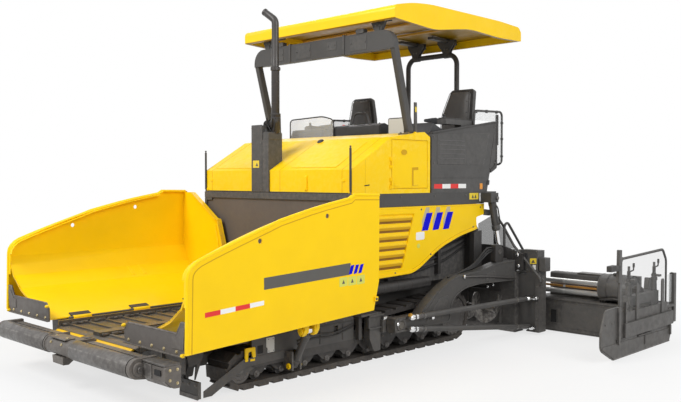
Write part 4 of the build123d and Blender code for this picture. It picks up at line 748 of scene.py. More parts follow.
def make_bulkhead():
    kit = Kit("bulkhead")
    cover, trim = kit(BLACK), kit(GREY)
    y = HOOD_Y
    trim.box((-BODY_X, BODY_X), (y - 0.022, y + 0.002), (1.69, 1.762))
    trim.box((-0.8, 0.8), (y - 0.02, y + 0.002), (0.8, 0.86))
    for k in (1, -1):
        trim.box(span(k, 0.76, 0.8), (y - 0.02, y + 0.002), (0.47, 0.86))
        for z in (0.95, 1.2, 1.45, 1.66):
            kit(BOLT_DARK).bolt((k * 1.19, y - 0.001, z), "-y", 0.009, 0.007)
        # cover of the corner post and its cap
        cover.rod((k * 1.233, y - 0.01, 2.25), (k * 1.233, y - 0.01, 2.262), 0.011)
        trim.prism("y", [(k * 1.1, 1.69), (k * 1.245, 1.69), (k * 1.245, 1.5), (k * 1.215, 1.5),
                         (k * 1.2, 1.66), (k * 1.1, 1.66)], y - 0.02, y, 0.008)
    # rubber curtain over the conveyor tunnel
    for i in range(8):
        x = -0.72 + i * 0.18
        kit(HOSE).box((x + 0.003, x + 0.177), (y + 0.002, y + 0.012), (0.6, 0.805))
    cover.box((-0.74, 0.74), (2.9, 2.91), (0.44, 0.86))
    kit.done()


make_push_beam()
for side in SIDES:
    make_wing(side)
make_conveyor()
make_bulkhead()


# ================================================================ hood and exhaust
SLOPE_START = Vector((HOOD_Y, 2.015))
SLOPE = (Vector((2.935, 2.372)) - SLOPE_START).normalized()
SLOPE_OUT = Vector((-SLOPE.y, SLOPE.x))


def on_slope(along, height=0.0):
    """Point (y, z) on the hood's front slope, or above it."""
    p = SLOPE_START + SLOPE * along + SLOPE_OUT * height
    return (p.x, p.y)


def make_hood():
    kit = Kit("hood")
    paint, shade = kit(YELLOW), kit(SHADE_YELLOW, edge=0.0008)
    # panels pressed up on the front slope, with painted shade along the shut lines round them
    for x0, x1 in ((0.27, 0.97), (-1.08, -0.4)):
        for rise, grow in ((0.0015, 0.004), (0.005, 0.0)):
            face = paint if rise > 0.002 else shade
            face.prism("x", [on_slope(0.05 - grow, -0.003), on_slope(0.6 + grow, -0.003),
                             on_slope(0.6 + grow, rise), on_slope(0.05 - grow, rise)], x0 - grow, x1 + grow)
    # painted shade lines along the seams of the slope and the front face
    for x in (1.1, -1.12, 0.13):
        shade.prism("x", [on_slope(0.0, -0.002), on_slope(0.7, -0.002), on_slope(0.7, 0.0012),
                          on_slope(0.0, 0.0012)], x, x + 0.006)
        shade.box((x, x + 0.006), (HOOD_Y - 0.0012, HOOD_Y + 0.002), (1.765, 2.012))
    # front face: lift handle, latches and corner fittings
    paint.prism("x", [(HOOD_Y + 0.002, 1.785), (HOOD_Y - 0.018, 1.8), (HOOD_Y - 0.018, 1.945),
                      (HOOD_Y + 0.002, 1.96)], 0.548, 0.582, 0.008)
    for x, z in ((1.125, 1.905), (1.205, 1.79), (-1.125, 1.905), (-1.205, 1.79)):
        paint.turned((x, HOOD_Y + 0.001, z), "-y", [(0, 0.021), (0.006, 0.021), (0.008, 0.017)], 20)
    kit(BLACK).box((-BODY_X + 0.02, BODY_X - 0.02), (HOOD_Y - 0.006, HOOD_Y + 0.001), (1.7625, 1.7755))
    # rolled edges along both sides
    outline = [(HOOD_Y, 1.765), (HOOD_Y, 2.013), (2.935, 2.371), (3.5, 2.444), (3.603, 2.389), (3.603, 1.765)]
    for k in (1, -1):
        paint.tube([(k * (BODY_X - 0.0075), y + (0.0078 if y < 2.4 else -0.0078 if y > 3.6 else 0.0),
                     z - (0.0078 if z > 2.1 else 0)) for y, z in outline], 0.0082, 0.02, sides=8)
    kit(BLACK).turned((0.19, 2.9, 2.345), (0, -0.5, 0.86), [(0, 0.04), (0.012, 0.04), (0.022, 0.03),
                (0.026, 0.012)], 24)
    for k in (1, -1):
        paint.turned((k * 1.19, 3.4, 2.42), "z", [(0, 0.02), (0.018, 0.02), (0.026, 0.012)], 16)
    kit(GREY).box((-0.5, 0.5), (3.6, 3.612), (1.9, 2.3))
    for i in range(8):
        kit(BLACK).prism("x", [(3.608, 1.93 + i * 0.045), (3.622, 1.915 + i * 0.045),
                               (3.622, 1.92 + i * 0.045), (3.61, 1.945 + i * 0.045)], -0.47, 0.47)
    kit.done()
    for name in SIDES:
        kit = Kit("hood_side", name, edge=0.0015)
        shade = kit(SHADE_YELLOW)
        # painted shadow in a slot low on the side
        decal(kit(SHADOW_AND_PRINT), rounded([(2.505, 1.842), (2.585, 1.85), (2.585, 1.862), (2.505, 1.854)], 0.005),
              BODY_X, 0.0014)
        # painted shade line along a seam
        shade.prism("x", strip([(2.52, 1.765), (2.52, 2.12)], 0.0035), BODY_X - 0.002, BODY_X + 0.001)
        door = kit(YELLOW, "hood_door_")
        door_shade = kit(SHADE_YELLOW, "hood_door_")
        # oval mark in painted shade inside a raised ring, standing for a recess
        oval = [(3.144 + 0.052 * cos(a), 2.21 + 0.03 * sin(a)) for a in [2 * pi * i / 24 for i in range(24)]]
        ring = [(3.144 + 0.062 * cos(a), 2.212 + 0.038 * sin(a)) for a in [2 * pi * i / 24
                    for i in range(24)]]
        door.prism("x", ring, BODY_X - 0.002, BODY_X + 0.003)
        door_shade.prism("x", oval, BODY_X, BODY_X + 0.0042)
        # recessed pull of the door, with painted shade inside its frame
        frame_ring = rounded([(3.27, 1.83), (3.4, 1.835), (3.4, 2.06), (3.27, 2.055)], 0.012)
        door.prism("x", frame_ring, BODY_X - 0.002, BODY_X + 0.0025)
        door_shade.prism("x", [(3.28, 1.84), (3.39, 1.845), (3.39, 2.05), (3.28, 2.045)], BODY_X,
                         BODY_X + 0.0034, 0.01)
        door.prism("x", [(3.306, 1.845), (3.388, 1.85), (3.388, 2.018), (3.306, 2.014)], BODY_X,
                   BODY_X + 0.0046, 0.01)
        door.prism("x", [(2.975, 1.84), (3.06, 1.832), (3.08, 1.85), (2.99, 1.862)], BODY_X - 0.002,
                   BODY_X + 0.006, 0.008)
        # lip pressed round the door's edge
        edge = rect(2.95, 3.546, 1.825, 2.336)
        door.tube([(BODY_X - 0.003, y, z) for y, z in edge], 0.006, 0.02, sides=6, closed=True)
        for z in (1.87, 2.09):
            door.rod((BODY_X + 0.013, 2.933, z - 0.02), (BODY_X + 0.013, 2.933, z + 0.02), 0.0132)
            for y in (2.952, 2.966):
                door.bolt((BODY_X + 0.013, y, z), "x", 0.005, 0.004, False)
        kit.done()


STACK_X, STACK_Y = -0.068, 2.43


def make_exhaust():
    kit = Kit("exhaust")
    box, stack, hose = kit(GREY), kit(STACK), kit(HOSE)
    box.turned((-0.205, 2.375, 2.0), "z", [(0, 0.066), (0.44, 0.066), (0.5, 0.058), (0.52, 0.03)], 28)
    box.prism("y", rect(-0.338, -0.15, 1.77, 2.535), 2.296, 2.31, 0.01)
    box.box((-0.15, -0.04), (2.298, 2.306), (1.77, 2.36))
    box.prism("y", rect(-0.13, -0.04, 2.36, 2.45), 2.3, 2.5, 0.01)
    for z in (1.8, 2.07, 2.33, 2.5):
        for x in (-0.325, -0.163):
            kit(BOLT_DARK).bolt((x, 2.296, z), "-y", 0.008, 0.006)
    kit(LABEL, edge=0.0004).prism("y", rect(-0.31, -0.2, 2.045, 2.128), 2.2945, 2.297, 0.005)
    kit(STRIPE_GREY, edge=0.0).prism("y", [(-0.262, 2.062), (-0.215, 2.062), (-0.2385, 2.105)], 2.2938, 2.295)
    # elbow from the stack to the silencer, with clamps and bellows
    elbow = [(STACK_X, STACK_Y, 2.62), (-0.07, 2.43, 2.55), (-0.215, 2.43, 2.53), (-0.218, 2.43, 2.44)]
    stack.tube(elbow, 0.052, 0.06, sides=18)
    for i in range(5):
        hose.turned((-0.13 - i * 0.018, 2.43, 2.541 - i * 0.002), (-1, 0, -0.12),
                    [(0, 0.054), (0.004, 0.062), (0.009, 0.062), (0.013, 0.054)], 24)
    box.turned((-0.218, 2.43, 2.44), "z", [(0, 0.075), (0.012, 0.075), (0.016, 0.06), (0.03, 0.06)], 24)
    for z in (2.6, 2.645):
        kit(BLACK).turned((STACK_X, STACK_Y, z), "z", hoop(0, 0.02, 0.048, 0.0545), 24)
    for k, reach in ((-1, 0.15), (1, 0.13)):
        hose.tube([(STACK_X + k * 0.03, 2.39, 2.46), (STACK_X + k * 0.08, 2.36, 2.56),
                   (STACK_X + k * 0.05, 2.35, 2.6 + reach * 0.2), (-0.11 + k * 0.04, 2.37, 2.5)], 0.009, 0.05)
    # joint of the stack, its clamp ears and a rain lip
    stack.turned((STACK_X, STACK_Y, 3.15), "z", [(0, 0.048), (0.004, 0.056), (0.04, 0.056), (0.044, 0.048)],
                 28)
    stack.prism("z", rect(-0.024, 0.008, 2.418, 2.442), 3.155, 3.178, 0.005)
    kit(BOLT_DARK).bolt((0.006, 2.43, 3.166), "x", 0.007, 0.008)
    for z in (2.78, 3.02):
        stack.turned((STACK_X, STACK_Y, z), "z", [(0, 0.0472), (0.002, 0.0488), (0.006, 0.0488),
                    (0.008, 0.0472)], 28)
    tip = Vector((-0.218, 2.4, 3.835))
    d = Vector((-0.150, -0.030, 0.110)).normalized()
    stack.turned(tip, d, [(-0.02, 0.0405), (-0.02, 0.0425), (0.002, 0.0425), (0.002, 0.0365),
                          (-0.001, 0.0365)], 28)
    # painted shadow inside the mouth of the stack
    kit(SHADOW_AND_PRINT).turned(tip, d, [(-0.001, 0.037), (0.0005, 0.037)], 24)
    kit.done()


# ================================================================ canopy
ROOF_X = 1.269


def roof_edge(y):
    """Height of the canopy's lower edge on its sides."""
    points = [(2.96, 3.65), (3.65, 3.605), (4.33, 3.70), (4.97, 3.673), (5.457, 3.685)]
    for (y0, z0), (y1, z1) in zip(points, points[1:]):
        if y <= y1:
            return z0 + (y - y0) * (z1 - z0) / (y1 - y0)
    return points[-1][1]


def make_canopy():
    kit = Kit("canopy")
    trim, bars, grey = kit(HOSE), kit(BAND_GREY), kit(GREY)
    # longitudinal bars under the roof and the cross bars between them
    for k in (1, -1):
        bars.prism("x", [(4.85, 3.795), (5.1, 3.797), (5.38, 3.77), (5.38, 3.735), (5.1, 3.755),
                         (4.85, 3.76)], *span(k, 0.22, 0.31))
        bars.prism("x", [(3.03, 3.71), (3.3, 3.76), (3.3, 3.7), (3.03, 3.655)], *span(k, 0.86, 0.94))
        # splayed hangers between the rear hoop and the bars
        for y in (5.19, 5.235):
            bars.prism("y", [(k * 0.22, 3.56), (k * 0.31, 3.56), (k * 0.33, 3.64), (k * 0.4, 3.74),
                             (k * 0.4, 3.785), (k * 0.12, 3.785), (k * 0.12, 3.74), (k * 0.2, 3.64)], y,
                       y + 0.016, 0.01)
        for x in (0.24, 0.29):
            kit(BOLT_DARK).bolt((k * x, 5.19, 3.665), "-y", 0.01, 0.008)
        bars.turned((k * 0.265, 5.23, 3.59), "x", hoop(-0.05, 0.05, 0.036, 0.042), 24)
        # hangers on the front cross beam
        bars.prism("y", [(k * 0.88, 3.555), (k * 0.98, 3.555), (k * 1.03, 3.66), (k * 1.03, 3.745),
                         (k * 0.83, 3.745), (k * 0.83, 3.66)], 3.062, 3.108, 0.012)
        for x in (0.9, 0.96):
            kit(BOLT_DARK).bolt((k * x, 3.062, 3.62), "-y", 0.01, 0.008)
    # cross bars under the roof, in the darker yellow-brown of painted shade
    for y in (3.9, 4.5):
        kit(UNDERSIDE_SHADE).box((-1.19, 1.19), (y, y + 0.05), (3.775, 3.8))
    # worn patches, clamps and cover plates on the front cross beam
    patch = kit(GREY, edge=0.001)
    for x0, x1, z0, z1 in ((-0.39, -0.13, 3.375, 3.54), (0.15, 0.3, 3.42, 3.52), (0.52, 0.78, 3.375, 3.54),
                           (-0.86, -0.62, 3.38, 3.53)):
        patch.prism("y", rect(x0, x1, z0, z1), 3.041, 3.047, 0.012)
        for x in (x0 + 0.02, x1 - 0.02):
            patch.bolt((x, 3.041, (z0 + z1) / 2), "-y", 0.008, 0.006)
    grey.prism("x", rect(3.045, 3.125, 3.352, 3.346), -1.0, 1.0)
    for x in (-0.5, 0.42):
        grey.prism("x", rect(3.035, 3.135, 3.345, 3.572), x - 0.015, x + 0.015, 0.01)
    for k in (1, -1):
        # foot plates and bolts of the legs, marker strip behind each leg
        grey.prism("z", rect(k * 1.09, k * 1.21, 3.22, 3.45), 2.408, 2.424, 0.012)
        for y in (3.25, 3.42):
            for x in (1.108, 1.192):
                kit(BOLT_DARK).bolt((k * x, y, 2.424 + (y - 3.22) * 0.12), "z", 0.011, 0.01)
        marker = kit(GREY)
        marker.prism("x", [(3.425, 2.43), (3.475, 2.43), (3.465, 2.78), (3.425, 2.78)], *span(k, 1.15, 1.165))
        marker.prism("x", rect(3.4, 3.48, 2.43, 2.442), *span(k, 1.11, 1.17))
        kit(LABEL, edge=0.0004).prism("x", rect(3.434, 3.46, 2.67, 2.73), *span(k, 1.164, 1.1665), 0.004)
        kit(GREY).prism("y", rect(k * 0.62, k * 0.74, 3.56, 3.61), 3.035, 3.1, 0.012)
    # seal along the roof's lower edge
    for k in (1, -1):
        ys = [2.962 + (5.45 - 2.962) * i / 24 for i in range(25)]
        outer = [(y, roof_edge(y) + 0.012) for y in ys]
        inner = [(y, roof_edge(y) - 0.001) for y in reversed(ys)]
        trim.prism("x", outer + inner, *sorted((k * (ROOF_X - 0.05), k * (ROOF_X - 0.0545))))
    # tinted sheet beside the right leg
    kit(TINTED, edge=0.0).prism("y", [(-1.1, 2.5), (-0.98, 2.5), (-1.0, 3.3), (-1.1, 3.3)], 3.3, 3.304)
    kit.done()


make_hood()
make_exhaust()
make_canopy()


# ================================================================ stations, seats and console
SEAT_AT = (0.86, 4.56, 2.44)
SEAT_MIDDLE = SEAT_AT[0] - 0.02
CLOTH_STEPS = 20


def swell(piece, voxel, pressure, cap):
    """Lets the cloth of a pad swell over its filling, then keeps the result in the mesh."""
    layer = bpy.context.view_layer
    for other in layer.objects:
        other.select_set(False)
    layer.objects.active = piece
    piece.select_set(True)
    remesh = piece.modifiers.new("remesh", "REMESH")
    remesh.mode = "VOXEL"
    remesh.voxel_size = voxel
    bpy.ops.object.modifier_apply(modifier="remesh")
    rest = [v.co.copy() for v in piece.data.vertices]
    cloth = piece.modifiers.new("cloth", "CLOTH")
    cloth.settings.quality = 4
    cloth.settings.mass = 0.3
    cloth.settings.use_pressure = True
    cloth.settings.uniform_pressure_force = pressure
    cloth.settings.effector_weights.gravity = 0.0
    scene = bpy.context.scene
    for step in range(1, CLOTH_STEPS + 1):
        scene.frame_set(step)
    bpy.ops.object.modifier_apply(modifier="cloth")
    scene.frame_set(1)
    for vertex, start in zip(piece.data.vertices, rest):
        moved = vertex.co - start
        if moved.length > cap:
            vertex.co = start + moved.normalized() * cap
    piece.data.polygons.foreach_set("use_smooth", [True] * len(piece.data.polygons))


def pad_rings(outline, low, high, crown):
    """Rings of a pad over a plane outline (a, b) between two heights, rounded towards both faces."""
    middle = (sum(p[0] for p in outline) / len(outline), sum(p[1] for p in outline) / len(outline))
    rings = []
    levels = [(low, 0.93), (low + 0.012, 1.0)] + [(low + 0.012 + (high - low - 0.03) * i / 3, 1.0)
                for i in (1, 2, 3)]
    levels += [(high - 0.004, 0.965), (high + crown * 0.6, 0.8), (high + crown, 0.45)]
    for level, grow in levels:
        rings.append([(middle[0] + (a - middle[0]) * grow, middle[1] + (b - middle[1]) * grow, level) for a,
                      b in outline])
    return rings


def make_pad(name, body, side, finish, outline, low, high, crown, frame_at):
    """Padded cushion: outline and heights in its own axes, put in place by frame_at."""
    pad = Piece(name, finish, body, side, edge=0.0)
    pad.loft([[frame_at(*p) for p in ring] for ring in pad_rings(outline, low, high, crown)])
    made = pad.finish_piece()
    swell(made, voxel=0.009, pressure=4.0, cap=0.012)
    return made


def back_point(x, up, out):
    """Point on the seat's leaning back: up along it, out towards the front."""
    lean = Vector((0, 0.17, 0.985))
    ahead = Vector((0, -0.985, 0.17))
    p = Vector((SEAT_MIDDLE + x, SEAT_AT[1] + 0.085, SEAT_AT[2] - 0.01)) + lean * up + ahead * out
    return tuple(p)


def make_seat(name):
    side = SIDES[name]
    body = "station_" + name
    kit = Kit("seat", name)
    shell = kit(GREY, body)
    # moulded shell of the back, and its hinge plates
    outline = rounded([(-0.25, 0.0), (0.23, 0.0), (0.205, 0.3), (0.19, 0.625), (-0.15, 0.625), (-0.255, 0.3)],
                      [0.02, 0.02, 0.05, 0.03, 0.03, 0.05], 5)
    rings = []
    for out, grow in ((-0.085, 0.9), (-0.07, 0.98), (-0.03, 1.0), (-0.005, 1.0)):
        rings.append([back_point(x * grow, 0.3 + (up - 0.3) * grow, out) for x, up in outline])
    shell.loft(rings)
    for k in (1, -1):
        shell.prism("x", [(4.5, 2.3), (4.66, 2.3), (4.7, 2.5), (4.62, 2.56), (4.55, 2.46)],
                    *sorted((SEAT_MIDDLE + k * 0.238, SEAT_MIDDLE + k * 0.252)), 0.02)
        kit(BOLT_DARK, body).bolt((SEAT_MIDDLE + k * 0.252, 4.61, 2.44), (k, 0, 0), 0.014, 0.01)
    shell.prism("z", rect(0.61, 1.07, 4.13, 4.63), 2.284, 2.33, 0.03)
    for x in (0.66, 1.0):
        kit(BLACK, body).box((x, x + 0.03), (4.12, 4.62), (2.2805, 2.286))
    kit.done()
    cushion_outline = rounded(rect(0.612, 1.068, 4.125, 4.6), [0.08, 0.08, 0.05, 0.05], 5)
    cushion = make_pad("seat_cushion_" + name, body, side, SEAT, cushion_outline, 2.325, 2.415, 0.018,
                       lambda a, b, z: (a, b, z))
    back_outline = rounded([(-0.225, 0.03), (0.205, 0.03), (0.185, 0.3), (0.168, 0.595), (-0.13, 0.595),
                            (-0.225, 0.3)], [0.04, 0.04, 0.05, 0.05, 0.05, 0.05], 5)
    make_pad("seat_back_" + name, body, side, SEAT, back_outline, -0.01, 0.05, 0.014, back_point)
    # sewn seams after the pads have swollen
    seams = Piece("seat_seams_" + name, SEAT_SIDE, body, side, edge=0.0)
    for up in (0.17, 0.31, 0.45):
        half = 0.192 - up * 0.07
        seams.tube([back_point(-half, up, 0.052), back_point(-half * 0.5, up, 0.066),
                    back_point(half * 0.5, up, 0.066), back_point(half, up, 0.052)], 0.0035, 0.05, sides=6)
    for y in (4.27, 4.42):
        seams.tube([(0.64, y, 2.415), (0.74, y, 2.432), (0.94, y, 2.432), (1.04, y, 2.415)], 0.0035, 0.05,
                   sides=6)
    for outline, place in ((cushion_outline, lambda a, b: (a, b, 2.41)),
                           (back_outline, lambda a, b: back_point(a, b, 0.044))):
        seams.tube([place(a, b) for a, b in outline], 0.0045, sides=6, closed=True)
    seams.finish_piece()
    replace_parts(cushion, "seat_" + name)


def make_station(name):
    kit = Kit("station", name)
    body = "station_"
    x = BODY_X
    skin, dark, thin = kit(GREY, body), kit(BLACK, body), kit(STATION_LINE, body, 0.0008)
    # raised panel in the side with its horizontal ribs and a darker inset
    skin.prism("x", [(3.734, 2.085), (4.66, 2.085), (4.79, 2.485), (4.5, 2.47), (3.734, 2.43)], x - 0.002,
               x + 0.004, 0.02)
    for i in range(5):
        z = 2.15 + i * 0.052
        thin.prism("x", [(3.762, z), (4.26, z + 0.003), (4.26, z + 0.013), (3.762, z + 0.01)], x, x + 0.0072,
                   0.004)
    thin.prism("x", strip([(4.3, 2.095), (4.32, 2.46)], -0.004), x, x + 0.0052)
    dark.prism("x", strip([(3.64, 2.438), (4.92, 2.622)], -0.011), x - 0.001, x + 0.006)
    dark.prism("x", strip([(3.64, 1.93), (4.72, 1.93)], -0.004), x - 0.001, x + 0.0015)
    thin.prism("x", strip([(4.79, 2.02), (4.9, 2.5)], -0.006), x - 0.001, x + 0.004)
    # rear edge: rubber seal, latch and the hooks under it
    dark.prism("x", [(4.935, 2.08), (4.957, 2.08), (4.957, 2.6), (4.935, 2.615)], x - 0.034, x + 0.004)
    dark.prism("x", [(4.81, 1.99), (4.94, 2.05), (4.955, 2.12), (4.93, 2.16), (4.88, 2.07), (4.81, 2.03)],
               x - 0.03, x + 0.008, 0.012)
    dark.prism("x", [(4.73, 1.84), (4.775, 1.84), (4.785, 1.9), (4.74, 1.9)], x - 0.03, x + 0.01, 0.01)
    for y, z in ((3.67, 2.4), (3.67, 1.8), (4.68, 1.8), (4.9, 2.56), (4.9, 2.12), (3.67, 2.1)):
        kit(BOLT_DARK, body).bolt((x, y, z), "x", 0.009, 0.007)
    # clear sheets in the guard, clamps and the grip of the guard tube
    clear = kit(CLEAR, body, 0.0)
    clear.box((1.222, 1.227), (4.507, 4.985), (2.63, 2.735))
    clear.box((1.222, 1.227), (4.992, 5.083), (2.12, 2.7))
    for y, z in ((4.53, 2.735), (4.75, 2.748), (4.97, 2.752)):
        dark.box((1.212, 1.238), (y - 0.012, y + 0.012), (z - 0.018, z + 0.02))
    for z in (2.2, 2.42, 2.62):
        dark.box((1.212, 1.238), (5.072, 5.107), (z - 0.012, z + 0.012))
    dark.box((1.21, 1.24), (4.965, 4.995), (2.34, 2.72))
    # tape, orange marker
    for i in range(4):
        a = 3.68 + i * 0.155
        decal(kit(RED if i % 2 == 0 else WHITE, body, 0), rect(a, a + 0.155, 1.806, 1.858), x, 0.0014)
    decal(kit(ORANGE, body, 0), rounded(rect(4.583, 4.64, 1.79, 1.862), 0.006), x, 0.004)
    # arm rest with its lever, box and dial cluster
    dark.prism("z", rect(1.08, 1.2, 3.95, 4.5), 2.62, 2.636, 0.03)
    lever = kit(PLASTIC, body)
    lever.turned((1.14, 4.0, 2.634), (0, -0.15, 1), [(0, 0.024), (0.012, 0.022), (0.02, 0.011), (0.03, 0.018),
                (0.045, 0.016), (0.05, 0.006)], 16)
    lever.prism("x", [(3.945, 2.6), (4.17, 2.575), (4.19, 2.64), (4.12, 2.655), (3.95, 2.63)], 0.88, 0.93,
                0.012)
    lever.rod((0.905, 4.15, 2.6), (1.1, 4.2, 2.58), 0.012)
    # sloping desk in front of the operator
    desk = kit(PLASTIC, body)
    desk.prism("x", [(3.66, 2.43), (3.66, 2.452), (3.72, 2.56), (3.74, 2.56), (3.95, 2.475), (3.95, 2.43)],
               0.6, 1.19)
    desk.prism("x", [(3.72, 2.562), (3.735, 2.568), (3.945, 2.484), (3.94, 2.472)], 0.64, 1.15)
    kit(DISPLAY, body, 0.001).prism("x", [(3.76, 2.5485), (3.765, 2.5615), (3.885, 2.5125), (3.88, 2.4995)],
                0.7, 0.86)
    for i in range(5):
        desk.turned((0.92 + i * 0.045, 3.83, 2.52), (0, 0.37, 0.93), [(0, 0.012), (0.018, 0.011),
                    (0.022, 0.006)], 12)
    # inner cover, steps in the base, rubber mat
    dark.box((0.565, 1.2), (3.98, 4.29), (1.7905, 1.797))
    for i in range(5):
        dark.box((0.57, 1.19), (4.0 + i * 0.055, 4.02 + i * 0.055), (1.797, 1.801))
    skin.box((0.553, 0.561), (4.33, 4.71), (1.82, 2.22))
    for y in (4.36, 4.68):
        for z in (1.86, 2.18):
            kit(BOLT_DARK, body).bolt((0.553, y, z), "-x", 0.009, 0.007)
    # front windscreen of the station in a rounded frame
    if name == "right":
        top = 2.72
        frame_path = [(0.35, 3.655, 2.42), (0.35, 3.655, top - 0.05), (0.55, 3.655, top),
                      (1.17, 3.655, top - 0.02), (1.17, 3.655, 2.42)]
        dark.tube(frame_path, 0.0085, 0.06, sides=8)
        clear.prism("y", [(0.355, 2.45), (0.36, top - 0.06), (0.55, top - 0.008), (1.165, top - 0.03),
                          (1.165, 2.45)], 3.653, 3.657)
    else:
        kit(PALE_PANEL, body).prism("y", rect(0.58, 0.82, 2.45, 2.63), 3.648, 3.656, 0.015)
        dark.tube([(0.58, 3.652, 2.45), (0.58, 3.652, 2.635), (0.824, 3.652, 2.635), (0.824, 3.652, 2.45)],
                  0.006, 0.02, sides=8)
    kit.done()


def make_console():
    kit = Kit("console")
    case, dark, grey = kit(PLASTIC), kit(BLACK), kit(GREY)
    case.prism("x", [(3.665, 2.5), (3.7, 2.58), (3.76, 2.6), (3.905, 2.55), (3.905, 2.5)], -0.42, 0.42, 0.02)
    case.prism("x", [(3.7, 2.4), (3.66, 2.44), (3.655, 2.56), (3.7, 2.58)], -0.1, 0.42, 0.01)
    case.prism("x", rect(3.9, 3.912, 1.8, 2.49), -0.36, 0.36)
    grey.tube([(-0.35, 3.95, 2.0), (-0.35, 3.99, 2.6), (-0.3, 4.0, 2.76), (-0.09, 4.0, 2.76),
               (-0.03, 3.99, 2.6), (-0.03, 3.95, 2.0)], 0.014, 0.06, sides=10)
    grey.box((-0.37, -0.01), (3.9, 3.97), (1.98, 2.01))
    kit(DISPLAY, edge=0.001).prism("x", [(3.765, 2.597), (3.77, 2.606), (3.89, 2.564), (3.885, 2.554)], -0.2,
                0.08)
    for i in range(4):
        for j in range(3):
            at = (0.14 + i * 0.06, 3.78 + j * 0.04, 2.592 - j * 0.0135)
            case.turned(at, (0, 0.33, 0.94), [(0, 0.011), (0.012, 0.011), (0.015, 0.007)], 12)
    kit(RED, edge=0.0).turned((-0.33, 3.82, 2.578), (0, 0.33, 0.94), [(0, 0.02), (0.02, 0.024),
                (0.03, 0.018)], 18)
    # deck plate between the stations with its raised studs, rear rail of the deck
    deck = kit(BAND_GREY)
    deck.box((-0.54, 0.54), (3.92, 4.94), (1.7595, 1.765))
    for i in range(9):
        for j in range(8):
            dark.turned((-0.48 + i * 0.12, 3.98 + j * 0.125, 1.765), "z", [(0, 0.012), (0.003, 0.009)], 10)
    grey.tube([(-0.3, 4.93, 1.77), (-0.3, 4.93, 2.6), (0.3, 4.93, 2.6), (0.3, 4.93, 1.77)], 0.017, 0.09,
              sides=12)
    grey.tube([(-0.3, 4.93, 2.2), (0.3, 4.93, 2.2)], 0.013, sides=10)
    for k in (1, -1):
        grey.turned((k * 0.3, 4.93, 1.765), "z", [(0, 0.036), (0.012, 0.036), (0.016, 0.02)], 16)
        # clamps of the rear hoop on the deck
        grey.turned((k * 0.42, 4.89, 1.762), "z", [(0, 0.07), (0.014, 0.07), (0.018, 0.045), (0.05, 0.04)],
                    24)
        for a in (45, 135, 225, 315):
            kit(BOLT_DARK).bolt((k * 0.42 + 0.055 * cos(radians(a)), 4.89 + 0.055 * sin(radians(a)), 1.776),
                                "z", 0.008, 0.008)
    kit.done()


make_console()
for side in SIDES:
    make_station(side)
    make_seat(side)


# ================================================================ body sides and tracks
LOUVRE_TOP, LOUVRE_PITCH, LOUVRES = 1.53, 0.098, 6
LOUVRE_START, LOUVRE_END_TOP, LOUVRE_END_LOW, LOUVRE_HEIGHT = 2.424, 3.319, 3.114, 0.588
ROLLERS, ROLLER_START, ROLLER_STEP = 10, 1.095, 0.3061
BRACE_X = 1.54
IDLER_Y, SPROCKET_Y, SPROCKET_Z, AXLE_Z = 0.885, 4.11, 0.29, 0.1163


def louvre_right(z):
    """Rear end of the louvre field at a height."""
    return LOUVRE_END_TOP - (LOUVRE_TOP - z) * (LOUVRE_END_TOP - LOUVRE_END_LOW) / LOUVRE_HEIGHT


